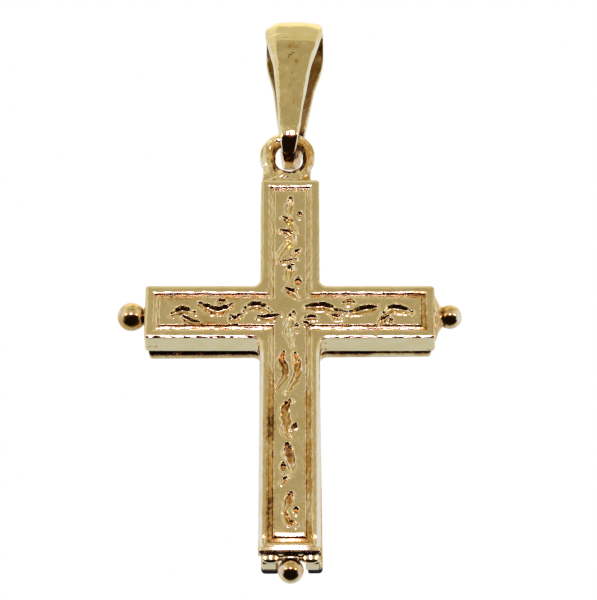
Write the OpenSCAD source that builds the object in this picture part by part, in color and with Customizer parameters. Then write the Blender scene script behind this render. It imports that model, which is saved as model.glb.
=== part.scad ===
// Hinged reliquary cross pendant of cast gold, hanging from a tapered bail.
// Millimetres. +Z is up, the ornamented front faces -Y, and +X is on its right seen from the front.
// The origin is the chain seat: the inside of the bail's crown, where the chain bears.

/* [Cross case] */
// Length across the two arms of the case
arm_span = 24.5; // [22:0.1:27]
// Height of the case above the middle of the crossing
head_length = 13.2; // [12:0.1:15]
// Depth of the case below the middle of the crossing
foot_length = 22.0; // [19:0.1:24]
// Width of every bar of the case at its back edge
bar_width = 5.1; // [4.8:0.1:5.6]
// Depth of the case from its front face to its back edge
case_depth = 2.35; // [2.2:0.05:2.8]
// How much narrower each wall is at the front than at the back
wall_draft = 0.04; // [0:0.02:0.1]
// Radius of the rounded front edges
edge_round = 0.22; // [0.1:0.02:0.3]
// Radius of the outer corners
corner_round = 0.34; // [0.3:0.02:0.5]
// Radius of the four inner corners at the crossing
crossing_fillet = 0.6; // [0.2:0.02:0.8]
// Thickness of the front plate
plate_thick = 0.75; // [0.6:0.05:0.9]
// Thickness of the side walls
wall_thick = 0.55; // [0.45:0.05:0.65]

/* [Front ornament] */
// Distance from the case's edge to the frame channel
channel_start = 0.78; // [0.6:0.02:0.9]
// Width of the frame channel
channel_width = 0.46; // [0.3:0.02:0.6]
// Depth of the frame channel
channel_depth = 0.16; // [0.08:0.02:0.24]
// Width of the slim ridge that runs in the channel
ridge_width = 0.14; // [0.08:0.02:0.2]
// Depth of the vine's leaves, which are cut into the panel
leaf_depth = 0.2; // [0.08:0.02:0.24]

/* [Back cover] */
// How much shorter than the case the cover is at the head and at each arm
end_inset = 0.28; // [0.15:0.01:0.3]
// How far the cover's long sides lie inside the case's
side_inset = 0.06; // [0:0.02:0.2]
// How far the cover sits turned on the case, in degrees
cover_turn = 0.5; // [0:0.1:0.6]
// Thickness of the cover
cover_thick = 0.95; // [0.8:0.05:1.2]
// Open seam between the case and the cover
seam_gap = 0.45; // [0.3:0.05:0.5]
// How far the cover reaches below the case's foot
ledge_drop = 0.4; // [0.4:0.05:0.5]
// Clearance between the cover's locating lip and the case's walls
lip_clearance = 0.12; // [0.08:0.02:0.16]
// Thickness of the locating lip
lip_thick = 0.35; // [0.25:0.05:0.45]
// How far the lip enters the case
lip_entry = 0.35; // [0.2:0.05:0.4]
// Depth of the pocket inside the cover
pocket_depth = 0.4; // [0.2:0.05:0.5]

/* [Foot hinge] */
// How far the hinge stands to the right of the cross's centreline
hinge_shift = 0.1; // [0:0.01:0.1]
// Radius of the hinge knuckles
knuckle_r = 0.5; // [0.46:0.01:0.52]
// Length of the middle knuckle
middle_knuckle = 1.36; // [1.2:0.02:1.5]
// Distance from the centreline to the inner end of each outer knuckle
outer_knuckle_start = 0.92; // [0.9:0.01:1]
// Distance from the centreline to the outer end of each outer knuckle
outer_knuckle_end = 2.28; // [2.1:0.02:2.3]
// Radius of the hinge pin
pin_r = 0.22; // [0.18:0.01:0.24]
// Radial running clearance round the pin
pin_clearance = 0.03; // [0.02:0.01:0.05]

/* [Balls] */
// Radius of the ball on the left arm
left_ball_r = 1.19; // [1:0.02:1.3]
// Radius of the ball on the right arm
right_ball_r = 1.02; // [0.9:0.02:1.2]
// Radius of the ball under the hinge
foot_ball_r = 1.04; // [0.9:0.01:1.05]
// Distance from the crossing to the middle of the left ball
left_ball_reach = 13.38; // [13.3:0.02:13.8]
// Distance from the crossing to the middle of the right ball
right_ball_reach = 13.5; // [13.4:0.02:13.8]
// Height of the side balls above the middle of the crossing
side_ball_rise = 0.12; // [0:0.02:0.16]

/* [Ring] */
// Outer radius of the soldered ring
ring_outer_r = 2.4; // [2.2:0.05:2.45]
// Half the width of the ring's oval hole
ring_hole_r = 1.2; // [1.18:0.01:1.22]
// Height of the ring's oval hole
ring_hole_height = 2.9; // [2.7:0.05:3]
// Thickness of the ring from front to back
ring_thick = 1.0; // [0.9:0.05:1.1]
// How far the ring stands to the left of the cross's centreline
ring_shift = 0.26; // [0:0.02:0.3]
// How far the ring's hole stands to the left of the cross's centreline
hole_shift = 0.1; // [0:0.02:0.12]

/* [Bail] */
// Height of the bail over all
bail_height = 14.85; // [14:0.05:15.2]
// Width of the bail at its crown
bail_crown_width = 5.12; // [4.6:0.02:5.4]
// Width of the bail where the legs are slimmest
bail_waist_width = 2.06; // [1.9:0.02:2.2]
// Width of the bail where it passes through the ring
bail_foot_width = 0.8; // [0.7:0.02:0.86]
// Depth of the bail at its crown
bail_depth = 5.7; // [5.2:0.1:5.7]
// How much wider the back leg is than the front one, as a share of its width
back_leg_extra = 0.1; // [0:0.01:0.12]
// Thickness of the bail's metal at the crown
bail_crown_thick = 0.9; // [0.8:0.05:1]
// Thickness of the bail's metal at the foot
bail_foot_thick = 1.6; // [1.4:0.05:1.65]
// How much lower the band's edges lie than its middle at the crown
bail_doming = 0.62; // [0.3:0.02:0.8]
// Lean of the bail to the right, as it hangs
bail_lean = 1.9; // [0:0.1:2.5]
// Turn of the bail about its length, as it hangs
bail_turn = 2; // [0:0.5:3]

/* [Hidden] */
$fn = 48;
nudge = 0.01;

// Depths are measured back from the front face, heights from the middle of the crossing.
half_bar = bar_width / 2;
arm = arm_span / 2;

// The ring's top wire is the pivot of the bail.
ring_depth = 1.2;
ring_middle = 16.25;
wire_top = ring_middle + ring_outer_r;
wire_thick = 1.1;
pivot_height = wire_top - wire_thick / 2;
hole_top = wire_top - wire_thick;
hole_bottom = hole_top - ring_hole_height;

// The bail's legs run between a wide round crown and a smaller round foot about the pivot.
crown_r = (bail_depth - bail_crown_thick) / 2;
foot_inner_r = 1.15;
foot_r = foot_inner_r + bail_foot_thick / 2;
foot_outer_r = foot_inner_r + bail_foot_thick;
crown_rise = bail_height - foot_outer_r - bail_depth / 2;
leg_slope = asin((crown_r - foot_r) / crown_rise);
seat_rise = crown_rise + crown_r - bail_crown_thick / 2;

// The seat is the origin, so the pivot and the cross lie below it along the leaning bail.
pivot_at = [-seat_rise * sin(bail_lean), 0, -seat_rise * cos(bail_lean)];
cross_at = pivot_at - [0, ring_depth, pivot_height];

// The hinge lies in a recess behind the front plate's lower edge.
hinge_depth = 1.35;
hinge_height = -foot_length - 0.05;
recess_height = 0.6;
end_wall = 0.8;
cavity_foot = foot_length - recess_height - end_wall;
bore_r = pin_r + pin_clearance;
foot_ball_drop = 1.07;
ball_room = 0.16;
cover_front = case_depth + seam_gap;
cover_back = cover_front + cover_thick;
cover_foot = foot_length + ledge_drop;

// The band's section has squared shoulders, and tapers towards its inner side at the foot.
band_squareness = 0.62;
foot_taper = 0.39;
waist_height = 2.9;
band_points = 20;
leg_steps = 10;
crown_steps = 20;
foot_steps = 12;

function unit(v) = v / norm(v);
function mix(a, b, t) = a + (b - a) * t;
function smooth(t) = let (c = max(0, min(1, t))) c * c * (3 - 2 * c);
function signed_power(v, e) = sign(v) * pow(abs(v), e);

// The twelve corners of a Latin cross, anticlockwise from the lower end of the right arm.
function cross_corners(side, head, foot, half) = [
    [side, -half], [side, half], [half, half],
    [half, head], [-half, head], [-half, half],
    [-side, half], [-side, -half], [-half, -half],
    [-half, -foot], [half, -foot], [half, -half]];

// Each corner becomes a quarter turn between its two edges. Every third corner is an inner one.
function rounded(points, outer, inner, steps = 4) = [
    for (i = [0:len(points) - 1])
        let (
            before = points[(i + len(points) - 1) % len(points)],
            after = points[(i + 1) % len(points)],
            arriving = unit(points[i] - before),
            leaving = unit(after - points[i]),
            r = i % 3 == 2 ? inner : outer)
        for (k = [0:steps])
            let (turn = 90 * k / steps)
            points[i] + r * arriving * (sin(turn) - 1) + r * leaving * (1 - cos(turn))];

function case_outline(inset) = rounded(
    cross_corners(arm - inset, head_length - inset, foot_length - inset, half_bar - inset),
    max(corner_round - inset, 0.04), crossing_fillet + inset);

function cavity_outline(inset) = rounded(
    cross_corners(arm - wall_thick - inset, head_length - wall_thick - inset,
        cavity_foot - 3 * inset, half_bar - wall_thick - inset),
    0.15, 0.5 + inset);

function cover_outline(inset) = rounded(
    cross_corners(arm - end_inset - inset, head_length - end_inset - inset,
        cover_foot - inset, half_bar - side_inset - inset),
    max(corner_round - inset, 0.04), crossing_fillet + side_inset + inset);

// The frame channel's edges keep crisp corners.
function channel_outline(inset) = rounded(
    cross_corners(arm - inset, head_length - inset, foot_length - inset, half_bar - inset),
    0.05, 0.08, 2);

// A quarter round from the front face to the wall, as pairs of depth and inset.
function edge_levels(r, steps = 3) = [
    for (k = [0:steps]) let (turn = 90 * k / steps) [r - r * cos(turn), r - r * sin(turn)]];

// A solid between outlines of equal length that lie one behind the other. The middle of the
// crossing sees every point of an outline, so each end is a fan of triangles round it.
module loft(outlines, depths) {
    count = len(outlines[0]);
    rings = len(depths);
    points = concat(
        [for (i = [0:rings - 1]) for (p = outlines[i]) [p[0], depths[i], p[1]]],
        [[0, depths[0], 0], [0, depths[rings - 1], 0]]);
    faces = [
        for (j = [0:count - 1])
            let (next = (j + 1) % count, last = (rings - 1) * count)
            each concat(
                [[rings * count, next, j], [rings * count + 1, last + j, last + next]],
                [for (i = [0:rings - 2])
                    [i * count + j, i * count + next, (i + 1) * count + next, (i + 1) * count + j]])];
    polyhedron(points, faces);
}

// An outline drawn in X and Z, carried from one depth to another.
module slab(from, to) {
    translate([0, to, 0])
        rotate([90, 0, 0])
            linear_extrude(to - from)
                children();
}

// A curved leaf as a cutter, from its stalk to its tip, deepest along its middle line. Bulge
// bends it to its left.
module leaf(stalk, tip, bulge, half, steps = 8) {
    along = tip - stalk;
    across = unit([-along[1], along[0]]);
    bend = (stalk + tip) / 2 + 2 * bulge * across;
    proud = 0.02;
    function spine(t) = mix(mix(stalk, bend, t), mix(bend, tip, t), t);
    function heading(t) = unit(mix(bend - stalk, tip - bend, t));
    function side(t) = [-heading(t)[1], heading(t)[0]];
    function swell(t) = pow(sin(180 * pow(t, 0.8)), 0.75);
    ribs = [for (k = [1:steps - 1]) k / steps];
    rows = [for (t = ribs) let (c = spine(t), w = half * swell(t) * side(t)) [c - w, c, c + w]];
    points = concat(
        [[stalk[0], -proud, stalk[1]]],
        [for (i = [0:steps - 2]) for (j = [0:2])
            [rows[i][j][0], j == 1 ? leaf_depth * swell(ribs[i]) : -proud, rows[i][j][1]]],
        [[tip[0], -proud, tip[1]]]);
    last = 3 * (steps - 1) + 1;
    ends = [[0, 1, 2], [0, 2, 3], [0, 3, 1],
        [last, last - 2, last - 3], [last, last - 1, last - 2], [last, last - 3, last - 1]];
    sides = [
        for (i = [0:steps - 3]) for (j = [0:2])
            let (a = 1 + 3 * i + j, b = 1 + 3 * i + (j + 1) % 3)
            each [[a, b + 3, b], [a, a + 3, b + 3]]];
    polyhedron(points, concat(ends, sides));
}

// The running vine: stalk x, stalk z, tip x, tip z, bulge, half width.
VINE = [
    [0.15, 11.1, -0.05, 9.7, -0.42, 0.36],
    [-0.75, 9.2, 0.72, 7.9, 0.12, 0.28],
    [0.55, 9.9, 0.95, 9.2, 0.05, 0.24],
    [-0.75, 8.0, 0.35, 7.0, -0.2, 0.34],
    [0.35, 7.0, -1.0, 5.3, -0.28, 0.38],
    [0.6, 6.4, 0.55, 5.4, -0.12, 0.25],
    [0.15, 4.6, -0.35, 3.2, -0.18, 0.34],
    [-0.35, 3.1, 0.75, 1.2, 0.25, 0.39],
    [0.55, 3.3, 0.9, 2.5, 0.05, 0.25],
    [0.1, -0.2, -0.4, -1.2, -0.12, 0.28],
    [-0.4, -1.2, 0.25, -3.0, 0.2, 0.36],
    [1.25, 0.3, 2.9, 0.9, 0.35, 0.39],
    [2.9, 0.9, 4.4, -1.0, 0.15, 0.28],
    [1.4, -0.5, 2.2, -0.35, 0.1, 0.22],
    [4.4, 0.7, 5.4, 0.95, 0.12, 0.22],
    [5.4, -0.05, 7.5, 0.35, 0.2, 0.34],
    [7.5, -1.15, 8.6, 0.25, 0.2, 0.34],
    [8.6, 0.3, 10.5, -0.1, 0.25, 0.36],
    [-0.85, -0.5, -2.4, 0.55, -0.15, 0.36],
    [-2.4, 0.55, -4.0, 0.2, -0.3, 0.36],
    [-1.4, 0.75, -2.2, 1.05, -0.1, 0.21],
    [-4.0, 0.1, -5.0, -0.7, -0.1, 0.28],
    [-4.9, 0.75, -7.6, 0.85, 0.5, 0.39],
    [-5.4, 1.1, -6.4, 1.15, 0.08, 0.2],
    [-10.2, 0.0, -8.5, 0.25, 0.3, 0.38],
    [-8.7, -0.4, -7.5, -0.65, 0.12, 0.28],
    [-0.55, -3.9, -1.05, -7.4, 0.3, 0.38],
    [0.45, -3.9, -0.1, -7.5, 0.32, 0.38],
    [0.05, -8.2, 0.0, -11.8, -0.35, 0.39],
    [0.5, -10.1, 0.55, -11.0, 0.08, 0.24],
    [-0.25, -12.5, 0.1, -15.3, 0.42, 0.39],
    [-0.55, -13.9, -0.7, -14.7, -0.08, 0.24],
    [0.1, -16.6, 0.0, -18.6, -0.34, 0.36],
    [0.0, -18.6, 0.75, -19.8, -0.1, 0.28],
    [0.65, -17.8, 0.6, -18.5, 0.05, 0.21]];

// The vine is cut into the panel inside the frame channel, which has a slim ridge of its own.
module vine_cut() {
    for (l = VINE)
        leaf([l[0], l[1]], [l[2], l[3]], l[4], l[5]);
}

module channel_cut() {
    slab(-1, channel_depth)
        difference() {
            polygon(channel_outline(channel_start));
            polygon(channel_outline(channel_start + channel_width));
        }
}

module channel_ridge() {
    ridge_start = channel_start + (channel_width - ridge_width) / 2;
    slab(channel_depth * 0.4, channel_depth + nudge)
        difference() {
            polygon(channel_outline(ridge_start));
            polygon(channel_outline(ridge_start + ridge_width));
        }
}

// The closed front plate and the walls round the relic's space, open at the back.
module case_shell() {
    levels = edge_levels(edge_round);
    difference() {
        loft(
            concat([for (l = levels) case_outline(wall_draft + l[1])], [case_outline(0)]),
            concat([for (l = levels) l[0]], [case_depth]));
        channel_cut();
        vine_cut();
        slab(plate_thick, case_depth + 1)
            polygon(cavity_outline(0));
        hinge_recess();
    }
}

// Room behind the lower edge of the front plate for the knuckles.
module hinge_recess() {
    translate([-half_bar - 1, hinge_depth - knuckle_r - 0.1, -foot_length - 1])
        cube([bar_width + 2, case_depth, recess_height + 1]);
}

// The oval hole through the ring, with bevelled rims.
module ring_hole() {
    bevel = 0.16;
    half = ring_thick / 2;
    profile = [
        [0, -half - 1], [ring_hole_r + bevel, -half - 1], [ring_hole_r + bevel, -half],
        [ring_hole_r, bevel - half], [ring_hole_r, half - bevel],
        [ring_hole_r + bevel, half], [ring_hole_r + bevel, half + 1], [0, half + 1]];
    straight = ring_hole_height - 2 * ring_hole_r;
    for (z = [hole_top - ring_hole_r, hole_bottom + ring_hole_r])
        translate([0, 0, z])
            rotate([90, 0, 0])
                rotate_extrude()
                    polygon(profile);
    for (s = [-1, 1])
        translate([0, 0, hole_bottom + ring_hole_r])
            linear_extrude(straight)
                polygon([for (p = profile) [s * p[0], p[1]]]);
}

// The ring is soldered to the head of the case, with a spread foot of solder.
module ring() {
    half = ring_thick / 2;
    bevel = 0.2;
    disc = [
        [0, -half], [ring_outer_r - bevel, -half], [ring_outer_r, bevel - half],
        [ring_outer_r, half - bevel], [ring_outer_r - bevel, half], [0, half]];
    solder = [
        [-2.2, head_length - 0.3], [2.1, head_length - 0.3], [2.0, head_length + 0.3],
        [1.85, head_length + 0.9], [1.9, head_length + 1.7], [-1.9, head_length + 1.7],
        [-2.0, head_length + 0.9], [-2.15, head_length + 0.3]];
    translate([0, ring_depth, 0])
        difference() {
            translate([-ring_shift, 0, 0]) {
                translate([0, 0, ring_middle])
                    rotate([90, 0, 0])
                        rotate_extrude()
                            polygon(disc);
                slab(-half, half)
                    polygon(solder);
            }
            translate([-hole_shift, 0, 0])
                ring_hole();
        }
}

// A ball on a neck that flares where it is soldered to the end of an arm.
module side_ball(ball_r, ball_reach, neck_r, flare) {
    reach = ball_reach - arm;
    steps = 5;
    profile = concat(
        [[0, -0.3], [neck_r + flare, -0.3]],
        [for (k = [0:steps]) let (turn = 90 * k / steps)
            [neck_r + flare * (1 - sin(turn)), flare * (1 - cos(turn))]],
        [[neck_r, reach], [0, reach]]);
    translate([arm, case_depth / 2, side_ball_rise])
        rotate([0, 90, 0]) {
            rotate_extrude()
                polygon(profile);
            translate([0, 0, reach])
                sphere(ball_r);
        }
}

// The solder that spreads from the right ball's neck over the end of the arm: oval rings that
// shrink from the wall to the neck.
module solder_spread() {
    rings = 6;
    sides = 24;
    start = -0.3;
    reach = 0.85;
    neck = 0.8;
    at_wall = [case_depth / 2 - 0.15, 2.2];
    points = [
        for (i = [0:rings])
            let (
                t = i / rings,
                left = pow(1 - t, 2.2),
                half_depth = mix(neck, at_wall[0], left),
                half_height = mix(neck, at_wall[1], left))
            for (j = [0:sides - 1])
                let (a = 360 * j / sides)
                [i == 0 ? start : reach * t, half_depth * cos(a),
                    half_height * sin(a) + side_ball_rise * t]];
    skin = [
        for (i = [0:rings - 1]) for (j = [0:sides - 1])
            let (next = (j + 1) % sides)
            [i * sides + j, (i + 1) * sides + j, (i + 1) * sides + next, i * sides + next]];
    caps = [[for (j = [0:sides - 1]) j], [for (j = [sides - 1:-1:0]) rings * sides + j]];
    translate([arm, case_depth / 2, 0])
        polyhedron(points, concat(skin, caps));
}

module along_x(from, to, r) {
    translate([from, 0, 0])
        rotate([0, 90, 0])
            cylinder(r = r, h = to - from);
}

// The middle knuckle carries the foot ball on a collared neck and is soldered to the case.
module foot_knuckle() {
    half = middle_knuckle / 2;
    translate([hinge_shift, hinge_depth, hinge_height])
        difference() {
            union() {
                along_x(-half, half, knuckle_r);
                translate([-half, -knuckle_r, 0])
                    cube([middle_knuckle, 2 * knuckle_r, recess_height + end_wall / 2]);
                translate([0, 0, -0.62])
                    cylinder(r = 0.56, h = 0.3);
                translate([0, 0, -foot_ball_drop])
                    sphere(foot_ball_r);
            }
            along_x(-half - 1, half + 1, bore_r);
        }
}

module case() {
    color("#c2ad6c")
        translate(cross_at) {
            case_shell();
            channel_ridge();
            ring();
            mirror([1, 0, 0])
                side_ball(left_ball_r, left_ball_reach, 0.68, 0.12);
            side_ball(right_ball_r, right_ball_reach, 0.86, 0.2);
            solder_spread();
            foot_knuckle();
        }
}

// The cover's plate, its pocket, and the lip that locates it in the case.
module cover_plate() {
    levels = edge_levels(edge_round);
    lip_front = case_depth - lip_entry;
    difference() {
        union() {
            rotate([0, -cover_turn, 0])
                loft(
                    concat([cover_outline(0)], [for (k = [3:-1:0]) cover_outline(levels[k][1])]),
                    concat([cover_front], [for (k = [3:-1:0]) cover_back - levels[k][0]]));
            slab(lip_front, cover_front + nudge)
                polygon(cavity_outline(lip_clearance));
        }
        slab(lip_front - 1, cover_front + pocket_depth)
            polygon(cavity_outline(lip_clearance + lip_thick));
    }
}

// The notch that lets the cover swing past the ball under the hinge.
module ball_notch() {
    notch_r = foot_ball_r + ball_room;
    slab(cover_front - 1, cover_back + 1) {
        translate([hinge_shift, hinge_height + 0.15])
            circle(notch_r);
        translate([hinge_shift - notch_r, -cover_foot - 1])
            square([2 * notch_r, hinge_height + 0.15 + cover_foot + 1]);
    }
}

// One outer knuckle, drilled for the pin, with a domed end away from the middle.
module outer_knuckle() {
    dome = 0.3;
    bevel = 0.06;
    steps = 4;
    profile = concat(
        [[bore_r, outer_knuckle_start], [knuckle_r - bevel, outer_knuckle_start],
            [knuckle_r, outer_knuckle_start + bevel]],
        [for (k = [0:steps]) let (turn = 50 * k / steps)
            [knuckle_r - dome * (1 - cos(turn)) / (1 - cos(50)) * 0.6,
                outer_knuckle_end - dome + dome * sin(turn) / sin(50)]],
        [[bore_r, outer_knuckle_end]]);
    translate([0, hinge_depth, hinge_height])
        rotate([0, 90, 0])
            rotate_extrude()
                polygon(profile);
}

// The two outer knuckles stand on webs that rise from the cover's ledge.
module cover_knuckles() {
    web_start = foot_ball_r + ball_room;
    web_front = hinge_depth + bore_r + 0.03;
    for (side = [0, 180])
        translate([hinge_shift, 2 * hinge_depth * (side / 180), 0])
            rotate([0, 0, side])
                outer_knuckle();
    for (from = [web_start, -outer_knuckle_end])
        translate([hinge_shift + from, web_front, -cover_foot])
            cube([outer_knuckle_end - web_start, cover_front - web_front + nudge, 0.45]);
}

module cover() {
    color("#b49c58")
        translate(cross_at) {
            difference() {
                cover_plate();
                ball_notch();
            }
            cover_knuckles();
        }
}

module hinge_pin() {
    pin_half = outer_knuckle_end - 0.03;
    color("#9c8448")
        translate(cross_at + [hinge_shift, hinge_depth, hinge_height])
            along_x(-pin_half, pin_half, pin_r);
}

// Half the bail's width at a height above its lowest point.
function bail_half_width(h) =
    let (
        up = max(0, h - waist_height) / (bail_height - waist_height),
        low = max(0, h - bail_foot_thick / 2) / (waist_height - bail_foot_thick / 2))
    bail_foot_width / 2
    + (bail_waist_width - bail_foot_width) / 2 * pow(min(1, low), 0.5)
    + (bail_crown_width - bail_waist_width) / 2 * mix(pow(up, 1.35), 1, smooth((up - 0.5) / 0.45));

// The bail's centreline, once round: the back leg up, over the crown, the front leg down, round the foot.
function crown_point(a) = [crown_r * cos(a), crown_rise + crown_r * sin(a)];
function foot_point(a) = [foot_r * cos(a), foot_r * sin(a)];
bail_line = concat(
    [for (k = [0:leg_steps - 1]) [mix(foot_point(-leg_slope), crown_point(-leg_slope), k / leg_steps),
        -leg_slope]],
    [for (k = [0:crown_steps]) let (a = mix(-leg_slope, 180 + leg_slope, k / crown_steps))
        [crown_point(a), a]],
    [for (k = [1:leg_steps]) [mix(crown_point(180 + leg_slope), foot_point(180 + leg_slope),
        k / leg_steps), 180 + leg_slope]],
    [for (k = [1:foot_steps - 1]) let (a = mix(180 + leg_slope, 360 - leg_slope, k / foot_steps))
        [foot_point(a), a]]);

// The band's section at one place: a rounded oblong whose edges bend inwards. Near the foot its
// inner side is slimmer, which lets the ring turn on it.
function bail_section(at) =
    let (
        height = at[0][1] + foot_outer_r,
        back = smooth(at[0][0] / 1.5) * smooth((height - 3.4) / 3) * (1 - smooth((height - 10.9) / 3)),
        half = bail_half_width(height) * (1 + back_leg_extra * back),
        thick = mix(bail_foot_thick, bail_crown_thick, smooth(height / 6)),
        dome = bail_doming * pow(2 * half / bail_crown_width, 2),
        outward = [cos(at[1]), sin(at[1])])
    [for (j = [0:band_points - 1])
        let (
            a = 360 * j / band_points,
            u = signed_power(cos(a), band_squareness),
            v = signed_power(sin(a), band_squareness),
            out = thick / 2 * v - dome * u * u * (0.75 + 0.25 * v),
            slimmer = 1 - foot_taper * (1 - smooth(height / 7)) * (1 - v) / 2,
            place = at[0] + out * outward)
        [half * slimmer * u, place[0], place[1]]];

module bail() {
    rings = len(bail_line);
    points = [for (at = bail_line) each bail_section(at)];
    skin = [
        for (i = [0:rings - 1]) for (j = [0:band_points - 1])
            let (
                a = i * band_points + j,
                b = i * band_points + (j + 1) % band_points,
                c = ((i + 1) % rings) * band_points + (j + 1) % band_points,
                d = ((i + 1) % rings) * band_points + j)
            each [[a, c, b], [a, d, c]]];
    color("#cbb673")
        translate(pivot_at)
            rotate([0, bail_lean, 0])
                rotate([0, 0, -bail_turn])
                    polyhedron(points, skin);
}

bail();
case();
cover();
hinge_pin();
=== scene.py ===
"""The looks of a hinged reliquary cross pendant of cast gold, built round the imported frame.

Sizes are in millimetres, in the cross's own frame: x to the right, y back from the front face and z up
from the middle of the crossing. The front face lies at y = 0. The bail has its own frame, whose
origin is the ring's top wire on which it hangs.
"""

import math

import bpy
import numpy as np
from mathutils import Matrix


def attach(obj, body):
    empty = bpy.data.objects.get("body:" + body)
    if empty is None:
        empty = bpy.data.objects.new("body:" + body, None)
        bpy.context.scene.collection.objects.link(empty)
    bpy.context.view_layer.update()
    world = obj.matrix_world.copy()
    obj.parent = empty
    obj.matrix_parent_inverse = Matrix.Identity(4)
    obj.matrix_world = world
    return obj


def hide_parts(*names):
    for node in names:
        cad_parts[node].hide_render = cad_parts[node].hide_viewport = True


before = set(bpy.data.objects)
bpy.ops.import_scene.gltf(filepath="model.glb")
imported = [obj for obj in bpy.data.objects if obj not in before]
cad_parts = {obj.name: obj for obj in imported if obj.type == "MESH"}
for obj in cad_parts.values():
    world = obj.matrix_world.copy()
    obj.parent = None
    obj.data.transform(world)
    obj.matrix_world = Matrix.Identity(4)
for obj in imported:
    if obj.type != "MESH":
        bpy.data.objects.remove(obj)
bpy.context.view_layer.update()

MM = 0.001

# The cross's reach from the middle of the crossing, and half the width of its bars.
ARM, HEAD, FOOT, HALF_BAR = 12.25, 13.2, 22.0, 2.55
# The case, from its front at depth 0, the walls round its cavity, and its corners.
CASE_DEPTH, WALL_DRAFT, PLATE_THICK, WALL_THICK, CAVITY_FOOT = 2.35, 0.04, 0.75, 0.55, 20.6
CORNER_ROUND, CROSSING_FILLET, SHARPEST = 0.34, 0.6, 0.04
# The panel begins where the channel ends, this far in from the case's outline.
PANEL_INSET = 1.24
# The cover: its front, back and foot, its rounded edge, how far it stays inside the case's outline, its
# slight turn, and the lip that finds the case's cavity, with a pocket inside it.
COVER_FRONT, COVER_BACK, COVER_FOOT, COVER_ROUND = 2.8, 3.75, 22.4, 0.22
END_INSET, SIDE_INSET, COVER_TURN = 0.28, 0.06, math.radians(0.5)
LIP_CLEARANCE, LIP_THICK, LIP_FRONT, POCKET_BACK = 0.12, 0.35, 2.0, 3.2
# The foot hinge: its axis, its knuckles along x, and the recess in the case behind them.
HINGE = (0.1, 1.35, -22.05)
KNUCKLE_R, BORE_R, KNUCKLE_TURN = 0.5, 0.25, math.radians(14)
MIDDLE_KNUCKLE, OUTER_START, OUTER_END = 1.36, 0.92, 2.28
RECESS_FRONT, RECESS_TOP = 0.75, -21.4
# The ring on the head, its oval hole, and the height of its top wire, on which the bail hangs.
RING_DEPTH, RING_MIDDLE, RING_R, RING_THICK = 1.2, 16.25, 2.4, 1.0
RING_SHIFT, HOLE_SHIFT, HOLE_R, HOLE_TOP, HOLE_BOTTOM, TOP_WIRE = 0.26, 0.1, 1.2, 17.55, 14.65, 18.1
# The bail: widths from crown to foot, the middle line's two round ends, and how it hangs.
BAIL_HEIGHT, BAIL_CROWN, BAIL_WAIST, BAIL_FOOT, WAIST_HEIGHT = 14.85, 5.12, 2.06, 0.8, 2.9
CROWN_R, FOOT_R, FOOT_OUTER, CROWN_RISE = 2.4, 1.95, 2.75, 9.25
CROWN_THICK, FOOT_THICK, BAIL_DOMING = 0.9, 1.6, 0.62
BAIL_LEAN, BAIL_TURN = math.radians(1.9), math.radians(2.0)
LEG_SLOPE = math.asin((CROWN_R - FOOT_R) / CROWN_RISE)
SEAT_RISE = CROWN_RISE + CROWN_R - CROWN_THICK / 2

# Where the two frames lie in the part's frame.
PIVOT = np.array([-SEAT_RISE * math.sin(BAIL_LEAN), 0.0, -SEAT_RISE * math.cos(BAIL_LEAN)])
CROSS = PIVOT - np.array([0.0, RING_DEPTH, TOP_WIRE])


# Small helpers

def smooth(t):
    """A step from 0 to 1 with level ends: 3 t^2 - 2 t^3, with t kept between 0 and 1."""
    t = np.clip(t, 0, 1)
    return t * t * (3 - 2 * t)


def mix(a, b, t):
    """The value a where t is 0, b where t is 1, and in proportion between."""
    return a + (b - a) * t


def signed_power(v, e):
    """The size of v to the power e, with the sign of v."""
    return np.sign(v) * np.abs(v) ** e


def bell(*offsets):
    """A bump of height 1: e to the minus sum of the squared offsets, each in half widths."""
    return np.exp(-sum(offset ** 2 for offset in offsets))


def turn_about(points, first, second, angle):
    """Points turned by an angle in the plane of two of their axes, from the first to the second."""
    c, s = math.cos(angle), math.sin(angle)
    turned = points.copy()
    turned[..., first] = points[..., first] * c - points[..., second] * s
    turned[..., second] = points[..., first] * s + points[..., second] * c
    return turned


def ripple(points, scale, seed, waves=7):
    """A smooth random relief between about -1 and 1: a sum of sine waves that run in random directions
    with random phases, all about one wavelength long, over the root of their number."""
    rng = np.random.default_rng(seed)
    total = np.zeros(points.shape[:-1])
    for _ in range(waves):
        way = rng.normal(size=points.shape[-1])
        way *= 2 * math.pi / scale * rng.uniform(0.7, 1.4) / np.linalg.norm(way)
        total += np.sin(points @ way + rng.uniform(0, 2 * math.pi))
    return total / math.sqrt(waves) * 0.8


def ripples(points, *layers):
    """A sum of ripples, each given as its strength, its wavelength and its seed."""
    return sum(strength * ripple(points, scale, seed) for strength, scale, seed in layers)


def grid_quads(rows, cols, close_rows=False, close_cols=True):
    """The quads of a grid whose points are numbered row by row."""
    i = np.arange(rows if close_rows else rows - 1)[:, None]
    j = np.arange(cols if close_cols else cols - 1)[None, :]
    i2, j2 = (i + 1) % rows, (j + 1) % cols
    return np.stack([i * cols + j, i * cols + j2, i2 * cols + j2, i2 * cols + j], -1).reshape(-1, 4)


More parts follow.
